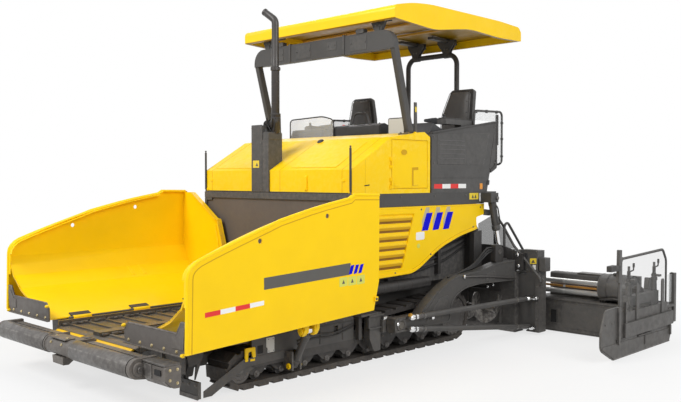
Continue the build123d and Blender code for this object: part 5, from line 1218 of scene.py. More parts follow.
def make_side(name):
    kit = Kit("side", name, edge=0.002)
    x = BODY_X
    paint, gap, shade = kit(YELLOW), kit(LOUVRE_GAP_SHADE, edge=0.0), kit(SHADE_YELLOW, edge=0.0)
    # louvre slats with painted shade on their lower faces, and a dark plate of painted shade in the gaps
    # behind them
    for i in range(LOUVRES):
        z = LOUVRE_TOP - i * LOUVRE_PITCH
        end = louvre_right(z - 0.05) - 0.014
        paint.prism("y", [(x - 0.018, z - 0.006), (x - 0.008, z - 0.012), (x + 0.004, z - 0.034),
                          (x + 0.007, z - 0.056), (x + 0.002, z - 0.068), (x - 0.018, z - 0.068)],
                    LOUVRE_START, end)
        shade.prism("y", [(x + 0.003, z - 0.031), (x + 0.0082, z - 0.056), (x + 0.003, z - 0.0694),
                          (x - 0.002, z - 0.069)], LOUVRE_START, end)
        gap.prism("y", rect(x - 0.0185, x - 0.0168, z - 0.068, z - 0.104), LOUVRE_START,
                  louvre_right(z - 0.08) - 0.004)
    frame_line = [(2.4, 0.93), (3.128, 0.93), (3.338, 1.542), (2.4, 1.542)]
    paint.tube([(x - 0.002, a, b) for a, b in frame_line], 0.0065, 0.02, sides=8, closed=True)
    # folded flange along the lower edge, and a painted shade line above it
    low = rounded([(2.37, 0.855), (3.287, 0.872), (3.428, 0.922), (3.795, 1.124), (4.183, 1.243),
                   (4.528, 1.31)], [0, 0.06, 0.05, 0.16, 0.16, 0], 6, closed=False)
    paint.prism("x", strip(low, 0.022), x - 0.004, x + 0.008)
    kit(SHADE_YELLOW, edge=0.0).prism("x", strip([(a, b + 0.036) for a, b in low[4:]], 0.004), x - 0.002,
                x + 0.0012)
    paint.prism("x", strip([(2.37, 1.595), (4.675, 1.595)], 0.015), x - 0.002, x + 0.005)
    # stripes, blank signs
    for i in range(3):
        a = 3.455 + i * 0.196
        decal(kit(BLUE, edge=0.0), [(a, 1.332), (a + 0.115, 1.336), (a + 0.2, 1.533), (a + 0.088, 1.53)], x,
              0.0014)
        decal(kit(GHOST, edge=0.0), [(a + 0.083, 1.5), (a + 0.13, 1.5), (a + 0.145, 1.6), (a + 0.09, 1.6)], x,
              0.0009)
        decal(kit(GHOST, edge=0.0), [(a + 0.012, 1.362), (a + 0.016, 1.38), (a + 0.09, 1.53),
                    (a + 0.096, 1.6), (a + 0.08, 1.6), (a + 0.002, 1.44)], x, 0.001)
    decal(kit(WHITE, edge=0.0), rounded([(3.355, 1.232), (3.505, 1.236), (3.505, 1.325), (3.355, 1.32)],
                0.018), x, 0.0014)
    kit(LABEL_GREEN, edge=0.0).turned((x - 0.001, 3.4, 1.168), "x", [(0, 0.026), (0.0024, 0.026)], 16)
    decal(kit(LABEL, edge=0.0), rounded(rect(4.37, 4.555, 1.668, 1.746), 0.008), x, 0.0014)
    for a in (4.415, 4.47):
        decal(kit(STRIPE_GREY, edge=0.0), [(a, 1.682), (a + 0.045, 1.682), (a + 0.0225, 1.73)], x, 0.0022)
    decal(kit(WHITE, edge=0.0), rounded(rect(4.58, 4.674, 1.642, 1.744), 0.008), x, 0.0014)
    for y, z in ((2.45, 1.57), (3.45, 1.575), (4.6, 1.57), (4.45, 1.335), (3.0, 0.895), (3.62, 1.06)):
        kit(BOLT_DARK).bolt((x, y, z), "x", 0.008, 0.006)
    for y in (2.5, 3.1, 3.7, 4.3):
        kit(BOLT_DARK).bolt((x, y, 1.72), "x", 0.009, 0.007)
    # yellow backing behind the door's shut line, marker post
    back = kit(YELLOW)
    for y0, y1, z0, z1 in ((2.925, 2.95, 1.8, 2.362), (3.545, 3.572, 1.8, 2.37), (2.94, 3.56, 1.796, 1.822),
                           (2.94, 3.56, 2.338, 2.362)):
        back.box((x - 0.0265, x - 0.0155), (y0, y1), (z0, z1))
    kit(BLACK).rod((1.233, 2.308, 1.79), (1.233, 2.308, 2.238), 0.0125, sides=12)
    # pipes and tank in the dark room over the track
    dark, hose = kit(BLACK), kit(HOSE)
    dark.turned((1.15, 2.48, 0.735), "y", [(0, 0.045), (0.02, 0.062), (1.2, 0.062), (1.22, 0.045)], 24)
    for i in range(5):
        dark.turned((1.15, 2.62 + i * 0.24, 0.735), "y", [(0, 0.064), (0.02, 0.064)], 24)
    for i in range(3):
        hose.tube([(1.1, 2.42, 0.84 + i * 0.05), (1.13, 2.9, 0.83 + i * 0.05), (1.12, 3.5, 0.86 + i * 0.07),
                   (1.1, 4.1, 0.95 + i * 0.08), (1.09, 4.5, 1.1 + i * 0.05)], 0.014, 0.2, sides=10)
    for y in (3.0, 3.9):
        dark.box((1.08, 1.14), (y, y + 0.05), (0.8, 1.15))
    dark.prism("x", rect(4.5, 4.56, 0.8, 1.42), 1.06, 1.2)
    dark.prism("x", [(4.44, 0.8), (4.6, 0.8), (4.6, 1.29), (4.44, 1.27)], 1.2, 1.268, 0.008)
    dark.prism("x", [(4.56, 0.86), (4.64, 0.9), (4.64, 1.3), (4.56, 1.4)], 1.1, 1.19, 0.02)
    # mounting of the band and the block beside the lift cylinder's ear
    grey = kit(GREY)
    grey.prism("x", [(4.672, 1.47), (4.79, 1.46), (4.8, 1.53), (4.672, 1.545)], 1.235, 1.262, 0.01)
    for k in (-1, 1):
        kit(BOLT_DARK).turned((1.325 + k * 0.088, 4.72, 1.68), (k, 0, 0),
                              [(0, 0.024), (0.008, 0.024), (0.012, 0.018)], 16)
    kit.done()


def make_track(name):
    kit = Kit("track", name, edge=0.002)
    dark, steel, grey = kit(BLACK), kit(ROLLER), kit(GREY)
    # hangers between the rollers leave small triangular windows
    for i in range(ROLLERS):
        y = ROLLER_START + i * ROLLER_STEP
        dark.prism("x", [(y - 0.157, 0.272), (y - 0.157, 0.2), (y - 0.062, 0.112), (y + 0.062, 0.112),
                         (y + 0.157, 0.2), (y + 0.157, 0.272)], 1.175, 1.186, [0, 0, 0.02, 0.02, 0, 0])
        steel.turned((1.186, y, AXLE_Z), "x", [(0, 0.034), (0.006, 0.034), (0.01, 0.024), (0.013, 0.024)], 18)
        kit(BOLT_DARK).bolt((1.198, y, AXLE_Z), "x", 0.011, 0.008, False)
        for k in (-1, 1):
            kit(BOLT_DARK).bolt((1.186, y + k * 0.07, 0.226), "x", 0.009, 0.007)
        steel.turned((0.985, y, AXLE_Z), "x", hoop(0, 0.012, 0.056, 0.058), 24)
    dark.prism("x", [(1.0, 0.28), (1.0, 0.225), (1.05, 0.19), (2.3, 0.19), (2.35, 0.225), (2.35, 0.28)],
               1.2262, 1.2345, 0.02)
    grey.prism("x", [(2.36, 0.275), (2.36, 0.355), (3.75, 0.44), (3.75, 0.275)], 1.2, 1.212, 0.02)
    for i in range(8):
        kit(BOLT_DARK).bolt((1.212, 2.45 + i * 0.17, 0.3), "x", 0.01, 0.008)
    # idler with its ring and yoke, sprocket with teeth
    steel.turned((1.2, IDLER_Y, 0.18), "x", [(0, 0.112), (0.006, 0.112), (0.006, 0.088), (0.001, 0.084),
                (0.001, 0.05), (0.012, 0.046), (0.014, 0.02)], 40)
    grey.prism("x", [(0.84, 0.14), (0.93, 0.14), (1.1, 0.2), (1.1, 0.262), (0.9, 0.225), (0.84, 0.21)],
               1.2005, 1.214, 0.02)
    kit(BOLT_DARK).bolt((1.214, IDLER_Y, 0.182), "x", 0.02, 0.012)
    teeth = []
    for i in range(72):
        a = 2 * pi * i / 72
        teeth.append((SPROCKET_Y + (0.222 if i % 4 < 2 else 0.2) * cos(a),
                      SPROCKET_Z + (0.222 if i % 4 < 2 else 0.2) * sin(a)))
    steel.prism("x", teeth, 1.1985, 1.21)
    steel.turned((1.21, SPROCKET_Y, SPROCKET_Z), "x", [(0, 0.165), (0.004, 0.16), (0.004, 0.12), (0.0, 0.118),
                (0.0, 0.1)], 40)
    grey.turned((1.2, SPROCKET_Y, SPROCKET_Z), "x", [(0, 0.12), (0.014, 0.12), (0.019, 0.1), (0.0195, 0.04)],
                32)
    for i in range(10):
        a = 2 * pi * i / 10
        kit(BOLT_DARK).bolt((1.211, SPROCKET_Y + 0.14 * cos(a), SPROCKET_Z + 0.14 * sin(a)), "x", 0.01, 0.007)
    # rollers that carry the track's upper run
    for i in range(3):
        y = 1.6 + i * 0.75
        z = 0.36 + (y - IDLER_Y) * 0.068 - 0.1
        steel.turned((0.99, y, z - 0.02), "x", [(0, 0.038), (0.14, 0.038)], 20)
    # yellow bracket, an opening in painted shadow, pale plate and ribs on the side plate
    yellow = kit(YELLOW)
    yellow.prism("x", [(0.912, 0.262), (0.945, 0.262), (0.95, 0.345), (0.99, 0.35), (1.0, 0.29),
                       (1.035, 0.29), (1.03, 0.385), (0.912, 0.385)], 1.236, 1.25, 0.01)
    yellow.box((1.2362, 1.246), (0.975, 1.03), (0.258, 0.28))
    kit(SHADOW_AND_PRINT, edge=0.0).prism("x", rect(1.062, 1.132, 0.312, 0.388), 1.237, 1.2392, 0.008)
    kit(PALE_PANEL, edge=0.001).prism("x", [(1.185, 0.305), (1.268, 0.305), (1.268, 0.445), (1.17, 0.445),
                (1.17, 0.36), (1.185, 0.35)], 1.2375, 1.241, 0.006)
    for y, z in ((1.195, 0.43), (1.25, 0.43), (1.198, 0.32), (1.255, 0.32)):
        kit(BOLT_DARK).bolt((1.241, y, z), "x", 0.005, 0.004, False)
    for y in (1.02, 1.35, 1.65, 1.95, 2.2, 2.33):
        kit(BOLT_DARK).bolt((1.238, y, 0.485), "x", 0.009, 0.007)
    dark.prism("x", rect(1.02, 2.33, 0.455, 0.468), 1.2375, 1.2425, 0.004)
    for y in (1.62, 1.86, 2.18):
        dark.prism("x", rect(y, y + 0.014, 0.285, 0.45), 1.2375, 1.2435, 0.004)
    hose = kit(HOSE)
    for i in range(2):
        hose.tube([(1.247, 1.56, 0.33 + i * 0.03), (1.25, 1.75, 0.36 + i * 0.04),
                   (1.25, 2.05, 0.34 + i * 0.03), (1.247, 2.34, 0.4 + i * 0.03)], 0.0085, 0.08, sides=8)
    # mudguard and plates between scraper and idler
    grey.prism("x", [(0.28, 0.452), (1.0, 0.43), (1.0, 0.42), (0.3, 0.436), (0.3, 0.25), (0.288, 0.25)],
               0.915, 1.2)
    dark.prism("x", [(0.3, 0.44), (0.5, 0.43), (0.46, 0.33), (0.34, 0.3)], 1.188, 1.2, 0.02)
    dark.prism("x", [(0.42, 0.17), (0.5, 0.17), (0.56, 0.43), (0.5, 0.43)], 1.0, 1.02, 0.015)
    dark.prism("x", [(0.435, 0.16), (0.49, 0.3), (0.5, 0.42), (0.46, 0.42)], 1.13, 1.15, 0.015)
    steel.prism("x", rect(0.395, 0.405, 0.012, 0.05), 0.965, 1.236, 0.002)
    for x in (1.0, 1.1, 1.2):
        kit(BOLT_DARK).bolt((x, 0.4, 0.135), "-y", 0.01, 0.008)
    # guide pieces between the track and the tow bracket, with the blank scale plate
    dark.box((1.252, 1.3), (2.362, 2.408), (0.262, 0.52))
    grey.prism("x", [(2.49, 0.52), (2.66, 0.52), (2.66, 0.12), (2.56, 0.12), (2.49, 0.26)], 1.255, 1.335,
               0.02)
    grey.box((1.23, 1.34), (2.36, 2.665), (0.5, 0.522))
    grey.prism("x", rect(2.65, 2.735, 0.31, 0.44), 1.24, 1.375)
    for y0, y1, z0, z1 in ((2.45, 2.47, 0.36, 0.505), (2.45, 2.69, 0.488, 0.505), (2.45, 2.69, 0.36, 0.376)):
        grey.box((1.33, 1.36), (y0, y1), (z0, z1))
    kit(WHITE, edge=0.0008).box((1.36, 1.366), (2.681, 2.729), (0.36, 0.468))
    for i in range(6):
        kit(SHADOW_AND_PRINT, edge=0.0).box((1.366, 1.3668), (2.685, 2.705 if i % 2 else 2.717),
                                (0.372 + i * 0.017, 0.375 + i * 0.017))
    grey.box((1.33, 1.361), (2.675, 2.735), (0.35, 0.478))
    for z in (0.36, 0.41):
        kit(BOLT_DARK).bolt((1.385, 2.76, z), "x", 0.012, 0.009)
    # washers and cap of the tow pin
    kit(STEEL).turned((1.5, 2.8, 0.385), "x", [(0, 0.044), (0.003, 0.044), (0.012, 0.04), (0.014, 0.02)], 28)
    kit.done()


for side in SIDES:
    make_side(side)
    make_track(side)


# ================================================================ tow arms, lift cylinders, screed and augers
TOW_Y, TOW_Z = 2.8, 0.385
COLUMN_FRONT = 5.07
DRUM_Y, DRUM_Z = 5.558, 0.6
JACK_X, JACKS_Y = 2.985, (4.94, 5.6)
GATE_FACE, GATE_LIMIT = 3.082, 3.112


def make_tow_side(name):
    kit = Kit("tow", name, edge=0.002)
    body = "screed"
    grey, dark, steel, chrome = kit(GREY, body), kit(BLACK, body), kit(ROLLER, body), kit(CHROME, body)
    # flanges along both edges of the arch, eye plate and rib plates
    top = rounded([(2.71, 0.462), (3.1, 0.467), (3.22, 0.48), (3.42, 0.665), (3.62, 0.775), (3.8, 0.818),
                   (4.23, 0.838), (4.6, 0.902), (4.97, 0.912)], [0, 0.1, 0.08, 0.12, 0.1, 0.1, 0.1, 0.05, 0],
                  5, closed=False)
    low = rounded([(2.71, 0.314), (3.64, 0.314), (3.69, 0.56), (3.92, 0.664), (4.23, 0.686), (4.97, 0.663)],
                  [0, 0.05, 0.1, 0.12, 0.1, 0], 5, closed=False)
    grey.prism("x", strip(top, -0.016), 1.497, 1.508)
    grey.prism("x", strip(low, 0.016), 1.497, 1.508)
    steel.turned((1.499, TOW_Y, TOW_Z), "x", [(0, 0.046), (0, 0.07), (0.009, 0.07), (0.011, 0.066),
                (0.011, 0.046)], 32)
    for a in range(0, 360, 60):
        kit(BOLT_DARK, body).bolt((1.51, TOW_Y + 0.058 * cos(radians(a)), TOW_Z + 0.058 * sin(radians(a))),
                                  "x", 0.006, 0.005, False)
    grey.prism("x", [(3.2, 0.36), (3.55, 0.36), (3.62, 0.62), (3.45, 0.6)], 1.498, 1.505, 0.03)
    grey.prism("x", [(4.35, 0.7), (4.55, 0.705), (4.55, 0.83), (4.35, 0.79)], 1.498, 1.505, 0.02)
    for y, z in ((3.28, 0.385), (3.5, 0.385), (4.38, 0.73), (4.52, 0.735), (4.52, 0.8), (3.05, 0.44),
                 (3.05, 0.33)):
        kit(BOLT_DARK, body).bolt((1.505 if y > 3.1 else 1.5, y, z), "x", 0.009, 0.007)
    # brace ends: bright ball joints with threads, jam nuts and one coloured cap
    rear = ((1.65, 5.09, 0.441), (1.65, 5.09, 0.09))
    front = ((BRACE_X, 2.92, 0.455), (BRACE_X, 2.92, 0.335))
    for number, (a, b) in enumerate(zip(front, rear)):
        a, b = Vector(a), Vector(b)
        d = (b - a).normalized()
        chrome.turned(a, d, [(-0.03, 0.012), (-0.024, 0.026), (0.0, 0.034), (0.024, 0.034), (0.05, 0.026),
                             (0.06, 0.0305), (0.075, 0.0315), (0.09, 0.0305)], 20)
        for i in range(5):
            steel.turned(a, d, [(0.1 + i * 0.012, 0.0302), (0.104 + i * 0.012, 0.0325),
                                (0.108 + i * 0.012, 0.0302)], 18)
        steel.turned(a, d, hoop(0.18, 0.21, 0.0302, 0.037), 6)
        length = (b - a).length
        steel.turned(a, d, hoop(length - 0.3, length - 0.27, 0.0302, 0.037), 6)
        x = 1.668 if number == 0 else 1.62
        z = 0.446 if number == 0 else 0.075
        for k in (0, 1):
            chrome.turned((x + k * 0.09, COLUMN_FRONT - 0.045, z + 0.012 * k), (1, 0, 0.1),
                          [(-0.03, 0.01), (-0.024, 0.022), (0.0, 0.03 - k * 0.006), (0.024, 0.022),
                           (0.03, 0.012), (0.05, 0.012)], 16)
        dark.box((x - 0.035, x + 0.13), (COLUMN_FRONT - 0.035, COLUMN_FRONT + 0.004), (z - 0.02, z + 0.03))
        grey.prism("z", [(1.5, a.y - 0.05), (BRACE_X + 0.012, a.y - 0.05), (BRACE_X + 0.012, a.y + 0.03),
                         (1.5, a.y + 0.05)], a.z - 0.012, a.z + 0.012, 0.01)
    kit(ORANGE_CAP, body).turned((BRACE_X, 2.905, 0.477), (0, -0.5, 0.86),
                [(0, 0.024), (0.014, 0.024), (0.02, 0.014)], 16)
    chrome.turned((1.52, 3.3, 0.408), "x", [(-0.02, 0.012), (0.0, 0.024), (0.018, 0.024), (0.028, 0.01)], 16)
    chrome.turned((1.5, 2.735, 0.405), "x", [(0, 0.02), (0.016, 0.02), (0.022, 0.012)], 16)
    # dark junction box and eye beside the lift rod
    dark.prism("x", [(4.6, 0.905), (4.77, 0.905), (4.77, 1.07), (4.7, 1.12), (4.6, 1.12)], 1.4, 1.47, 0.02)
    dark.prism("x", rect(4.985, 5.06, 0.9, 1.04), 1.38, 1.46, 0.02)
    steel.turned((1.47, 4.685, 1.03), "x", [(0, 0.03), (0.006, 0.03), (0.006, 0.018), (0.002, 0.016)], 20)
    for i in range(3):
        kit(HOSE, body).tube([(1.43, 4.62 + i * 0.04, 1.06), (1.42, 4.5, 1.02 + i * 0.04),
                              (1.43, 4.2, 0.87 + i * 0.02), (1.43, 3.95, 0.845), (1.43, 3.7, 0.8)], 0.011,
                             0.1, sides=8)
    # column with its control box and blank sign
    grey.prism("x", rect(5.05, 5.072, 0.04, 0.76), 1.745, 1.8, 0.003)
    grey.prism("y", [(1.5, 0.775), (1.5, 1.04), (1.77, 1.045), (1.77, 0.775)], 5.062, 5.071, 0.015)
    grey.prism("y", rect(1.78, 1.865, 0.785, 0.952), 5.08, 5.2, 0.012)
    kit(LABEL, body, 0.0).prism("y", [(1.664, 0.869), (1.753, 0.875), (1.753, 0.943), (1.664, 0.938)], 5.0605,
                                5.063)
    kit(STRIPE_GREY, body, 0.0).prism("y", [(1.682, 0.882), (1.735, 0.886), (1.708, 0.928)], 5.0598, 5.061)
    kit(WHITE, body, 0.0).prism("y", rect(1.7, 1.745, 0.8, 0.86), 5.0605, 5.063)
    for x, z in ((1.52, 0.795), (1.52, 1.02), (1.75, 1.025), (1.62, 0.795), (1.77, 0.2), (1.77, 0.4),
                 (1.77, 0.6)):
        kit(BOLT_DARK, body).bolt((x, 5.062 if z > 0.77 else 5.05, z), "-y", 0.008, 0.006)
    kit(PLASTIC, body).prism("y", rect(1.53, 1.63, 0.88, 1.0), 5.052, 5.063, 0.01)
    # splash screen with its post and the strut down to the column; steel line along the arm
    kit(SMOKED, body, 0.0).prism("y", [(0.83, 1.07), (0.83, 1.33), (1.045, 1.447), (1.09, 1.43),
                (1.385, 1.06), (1.385, 1.03)], 5.156, 5.16)
    dark.prism("y", [(0.97, 0.771), (1.5, 0.771), (1.5, 1.02), (1.3, 1.08), (0.97, 1.08)], 4.992, 5.03, 0.015)
    dark.box((1.5, 1.6), (4.995, 5.062), (0.79, 1.0))
    grey.prism("z", rect(1.055, 1.09, 5.172, 5.2), 0.769, 1.58, 0.004)
    grey.tube([(1.075, 5.186, 1.47), (1.09, 5.184, 1.44), (1.2, 5.16, 1.33), (1.45, 5.032, 1.085),
               (1.815, 5.035, 0.715), (1.825, 5.04, 0.66)], 0.0165, 0.02, sides=12)
    grey.prism("y", [(1.76, 0.62), (1.86, 0.62), (1.86, 0.7), (1.79, 0.73)], 5.046, 5.072, 0.01)
    for x, z in ((1.535, 0.975), (1.55, 0.845), (1.3, 0.93)):
        chrome.turned((x, 4.994, z), "-y", [(0, 0.016), (0.008, 0.022), (0.02, 0.022), (0.026, 0.012)], 14)
    steel.tube([(1.516, 3.88, 0.8), (1.516, 4.3, 0.77), (1.516, 4.97, 0.687)], 0.0105, 0.1, sides=10)
    chrome.turned((1.508, 3.9, 0.8), "x", [(0, 0.02), (0.016, 0.02), (0.022, 0.01)], 14)
    grey.prism("x", rect(4.985, 5.62, 0.77, 0.79), 1.27, 1.29, 0.004)
    # inner plates and small bright fittings on the front wall
    dark.prism("y", rect(1.08, 1.3, 0.5, 0.74), 4.966, 4.981, 0.02)
    for x, z in ((1.15, 0.7), (1.2, 0.58), (1.12, 0.55)):
        chrome.turned((x, 4.967, z), "-y", [(0, 0.018), (0.016, 0.018), (0.022, 0.01)], 14)
    for i in range(4):
        z = 0.68 - i * 0.05
        kit(HOSE, body).tube([(0.1, 4.972, z), (0.5, 4.96, z + 0.02), (0.9, 4.965, z - 0.01),
                              (1.1, 4.972, z)], 0.012, 0.1, sides=8)
    grey.box((0.05, 1.5), (4.966, 4.981), (0.075, 0.11))
    for i in range(9):
        kit(BOLT_DARK, body).bolt((0.12 + i * 0.165, 4.966, 0.093), "-y", 0.009, 0.007)
        kit(BOLT_DARK, body).bolt((0.12 + i * 0.165, 4.98, 0.745), "-y", 0.009, 0.007)
    for x in (0.35, 0.8, 1.3):
        grey.prism("x", [(4.93, 0.1), (4.981, 0.1), (4.981, 0.45), (4.965, 0.45)], x, x + 0.014, 0.004)
    # guide box: covers, hinges, burner caps; sole plate and its wear edge
    for x0 in (0.06, 0.5, 0.94):
        grey.prism("z", rect(x0, x0 + 0.38, 5.03, 5.58), 0.7695, 0.777, 0.015)
        for x in (x0 + 0.06, x0 + 0.3):
            dark.rod((x, 5.585, 0.778), (x + 0.04, 5.585, 0.778), 0.009, sides=10)
        dark.tube([(x0 + 0.13, 5.08, 0.776), (x0 + 0.13, 5.08, 0.8), (x0 + 0.25, 5.08, 0.8),
                   (x0 + 0.25, 5.08, 0.776)], 0.006, 0.012, sides=8)
        for x in (x0 + 0.03, x0 + 0.35):
            for y in (5.06, 5.3, 5.54):
                kit(BOLT_DARK, body).bolt((x, y, 0.777), "z", 0.007, 0.005)
    for z in (0.64, 0.515):
        steel.turned((1.349, 5.5, z), "x", [(0, 0.0335), (0, 0.05), (0.006, 0.05), (0.009, 0.047),
                    (0.009, 0.0335)], 28)
    steel.box((0.0, 1.5), (4.99, 5.36), (0.0105, 0.02))
    steel.prism("x", [(4.978, 0.062), (4.978, 0.09), (4.99, 0.03), (4.99, 0.012)], 0.02, 1.5)
    # walkway with its grip studs, edge strip and side bracket
    for i in range(24):
        for j in range(3):
            steel.turned((0.03 + i * 0.06, 5.92 + j * 0.065, 0.34), "z", [(0, 0.012), (0.003, 0.008)], 8)
    grey.box((0.0, 1.45), (6.082, 6.092), (0.306, 0.346))
    for x in (0.3, 0.56, 1.1):
        kit(BOLT_DARK, body).bolt((x, 6.092, 0.325), "y", 0.009, 0.007)
    for z in (0.5, 0.6, 0.7):
        dark.box((0.1, 1.2), (5.6195, 5.624), (z, z + 0.012))
    kit.done()


def make_lift(name):
    kit = Kit("lift", name)
    top, eye = Vector((1.325, 4.72, 1.68)), Vector((1.325, 4.94, 0.9))
    d = (eye - top).normalized()
    barrel = kit(GREY, "lift_cylinder_")
    barrel.turned(top, d, [(0.345, 0.044), (0.345, 0.05), (0.35, 0.053), (0.4, 0.053), (0.406, 0.048),
                           (0.4125, 0.036), (0.4125, 0.0275), (0.4, 0.0275), (0.4, 0.044)], 28)
    barrel.turned(top, d, hoop(0.05, 0.092, 0.044, 0.05), 28)
    for along_it in (0.1, 0.33):
        kit(ROLLER, "lift_cylinder_").turned(top + d * along_it + Vector((0.044, 0, 0)), "x",
                    [(0, 0.014), (0.012, 0.014), (0.018, 0.01)], 6)
    kit(HOSE, "lift_cylinder_").tube([top + d * 0.33 + Vector((0.06, 0, 0)),
                top + d * 0.3 + Vector((0.072, 0, 0)), top + d * 0.13 + Vector((0.072, 0, 0)),
                top + d * 0.1 + Vector((0.06, 0, 0))], 0.009, 0.02)
    rod_piece = kit(GREY, "lift_rod_")
    rod_piece.turned(eye, -d, hoop(0.03, 0.04, 0.024, 0.034), 24)
    kit.done()


def make_extension(name):
    kit = Kit("extension", name, edge=0.002)
    body = "extension_"
    grey, dark, steel = kit(GREY, body), kit(BLACK, body), kit(ROLLER, body)
    # rear beam behind the tubes, with its tread plates
    grey.prism("x", [(5.645, 0.43), (5.8, 0.43), (5.8, 0.715), (5.775, 0.725), (5.665, 0.725), (5.645, 0.71)],
               1.61, 2.36, 0.006)
    grey.prism("x", rect(5.74, 5.8, 0.43, 0.745), 2.355, 2.75, 0.006)
    steel.prism("z", rect(1.98, 2.37, 5.65, 5.795), 0.724, 0.739, 0.006)
    for i in range(7):
        dark.prism("y", rect(1.85 + i * 0.07, 1.9 + i * 0.07, 0.5, 0.52), 5.642, 5.647, 0.006)
    for i in range(5):
        for j in range(2):
            steel.turned((1.66 + i * 0.065, 5.69 + j * 0.065, 0.725), "z", [(0, 0.012), (0.003, 0.008)], 8)
    # drum with rims, bands, cap and filler
    for x in (2.38, 2.744):
        grey.turned((x, DRUM_Y, DRUM_Z), "x", hoop(0, 0.016, 0.16, 0.171), 40)
    for x in (2.48, 2.64):
        dark.turned((x, DRUM_Y, DRUM_Z), "x", [(0, 0.1682), (0.001, 0.1705), (0.021, 0.1705),
                    (0.022, 0.1682)], 40)
    dark.turned((2.381, DRUM_Y, DRUM_Z), "-x", [(0, 0.1), (0.006, 0.1), (0.008, 0.08)], 32)
    dark.turned((2.56, 5.52, 0.766), "z", [(0, 0.035), (0.02, 0.035), (0.026, 0.025)], 20)
    for a in range(0, 360, 45):
        kit(BOLT_DARK, body).bolt((2.381, DRUM_Y + 0.13 * cos(radians(a)), DRUM_Z + 0.13 * sin(radians(a))),
                                  "-x", 0.009, 0.007)
    for i in range(3):
        kit(HOSE, body).tube([(2.4 + i * 0.03, 5.45, 0.43), (2.4 + i * 0.03, 5.42, 0.47),
                              (2.56 + i * 0.04, 5.4, 0.5), (2.82, 5.4 + i * 0.015, 0.47), (2.86, 5.42, 0.44)],
                             0.012, 0.05, sides=8)
    # front wall: pressed panels, slot, hand hole, wear strip
    grey.prism("y", rounded(rect(1.9, 2.95, 0.07, 0.37), 0.06, 5), 5.41, 5.422)
    grey.prism("y", strip([(1.53, 0.405), (3.02, 0.405)], 0.02), 5.404, 5.422)
    # painted shadow inside the hand hole
    kit(SHADOW_AND_PRINT, body, 0.0).prism("y", rect(1.752, 1.826, 0.122, 0.278), 5.4185, 5.4206, 0.01)
    grey.prism("y", strip(rounded(rect(1.742, 1.836, 0.112, 0.288), 0.01)[:14], -0.006), 5.414, 5.421)
    for x in (1.56, 1.66, 2.1, 2.45, 2.8, 2.98):
        for z in (0.055, 0.39):
            kit(BOLT_DARK, body).bolt((x, 5.4195, z), "-y", 0.009, 0.007)
    steel.box((1.53, 3.02), (5.427, 5.858), (0.0105, 0.02))
    grey.box((1.56, 2.3), (5.46, 5.79), (0.4295, 0.436))
    # jacks with flanged caps and cranks, the tapered guide beside the rear one
    for y in JACKS_Y:
        grey.turned((JACK_X, y, 0.37), "z", [(0, 0.022), (0.0, 0.03), (0.03, 0.03), (0.034, 0.0222)], 24)
        grey.turned((JACK_X, y, 0.62), "z", [(0, 0.022), (0.0, 0.034), (0.12, 0.03), (0.15, 0.0222)], 24)
        grey.turned((JACK_X, y, 0.735), "z", [(0, 0.0222), (0.004, 0.038), (0.036, 0.038), (0.0448, 0.03)],
                    24)
    grey.prism("x", [(5.56, 0.46), (5.74, 0.46), (5.7, 0.6), (5.675, 0.755), (5.625, 0.755), (5.6, 0.6)],
               2.86, 2.92, 0.01)
    grey.prism("x", [(4.9, 0.5), (5.0, 0.5), (4.98, 0.62), (4.92, 0.62)], 2.925, 3.0, 0.01)
    dark.turned((2.9, 5.35, 0.62), "z", [(0, 0.07), (0.04, 0.065), (0.07, 0.035)], 24)
    for i in range(3):
        dark.turned((2.8, 5.45 + i * 0.07, 0.62), "z", [(0, 0.024), (0.03, 0.022), (0.04, 0.012)], 14)
    # walkway studs, rear post and its clear side
    for i in range(22):
        for j in range(4):
            steel.turned((1.74 + i * 0.058, 5.9 + j * 0.062, 0.41), "z", [(0, 0.012), (0.003, 0.008)], 8)
    grey.box((1.705, 3.018), (6.13, 6.142), (0.382, 0.42))
    kit(BOLT_DARK, body).bolt((2.99, 6.1, 0.78), "z", 0.012, 0.008)
    kit(CLEAR, body, 0.0).box((2.983, 2.987), (5.99, 6.1), (0.43, 0.77))
    kit.done()


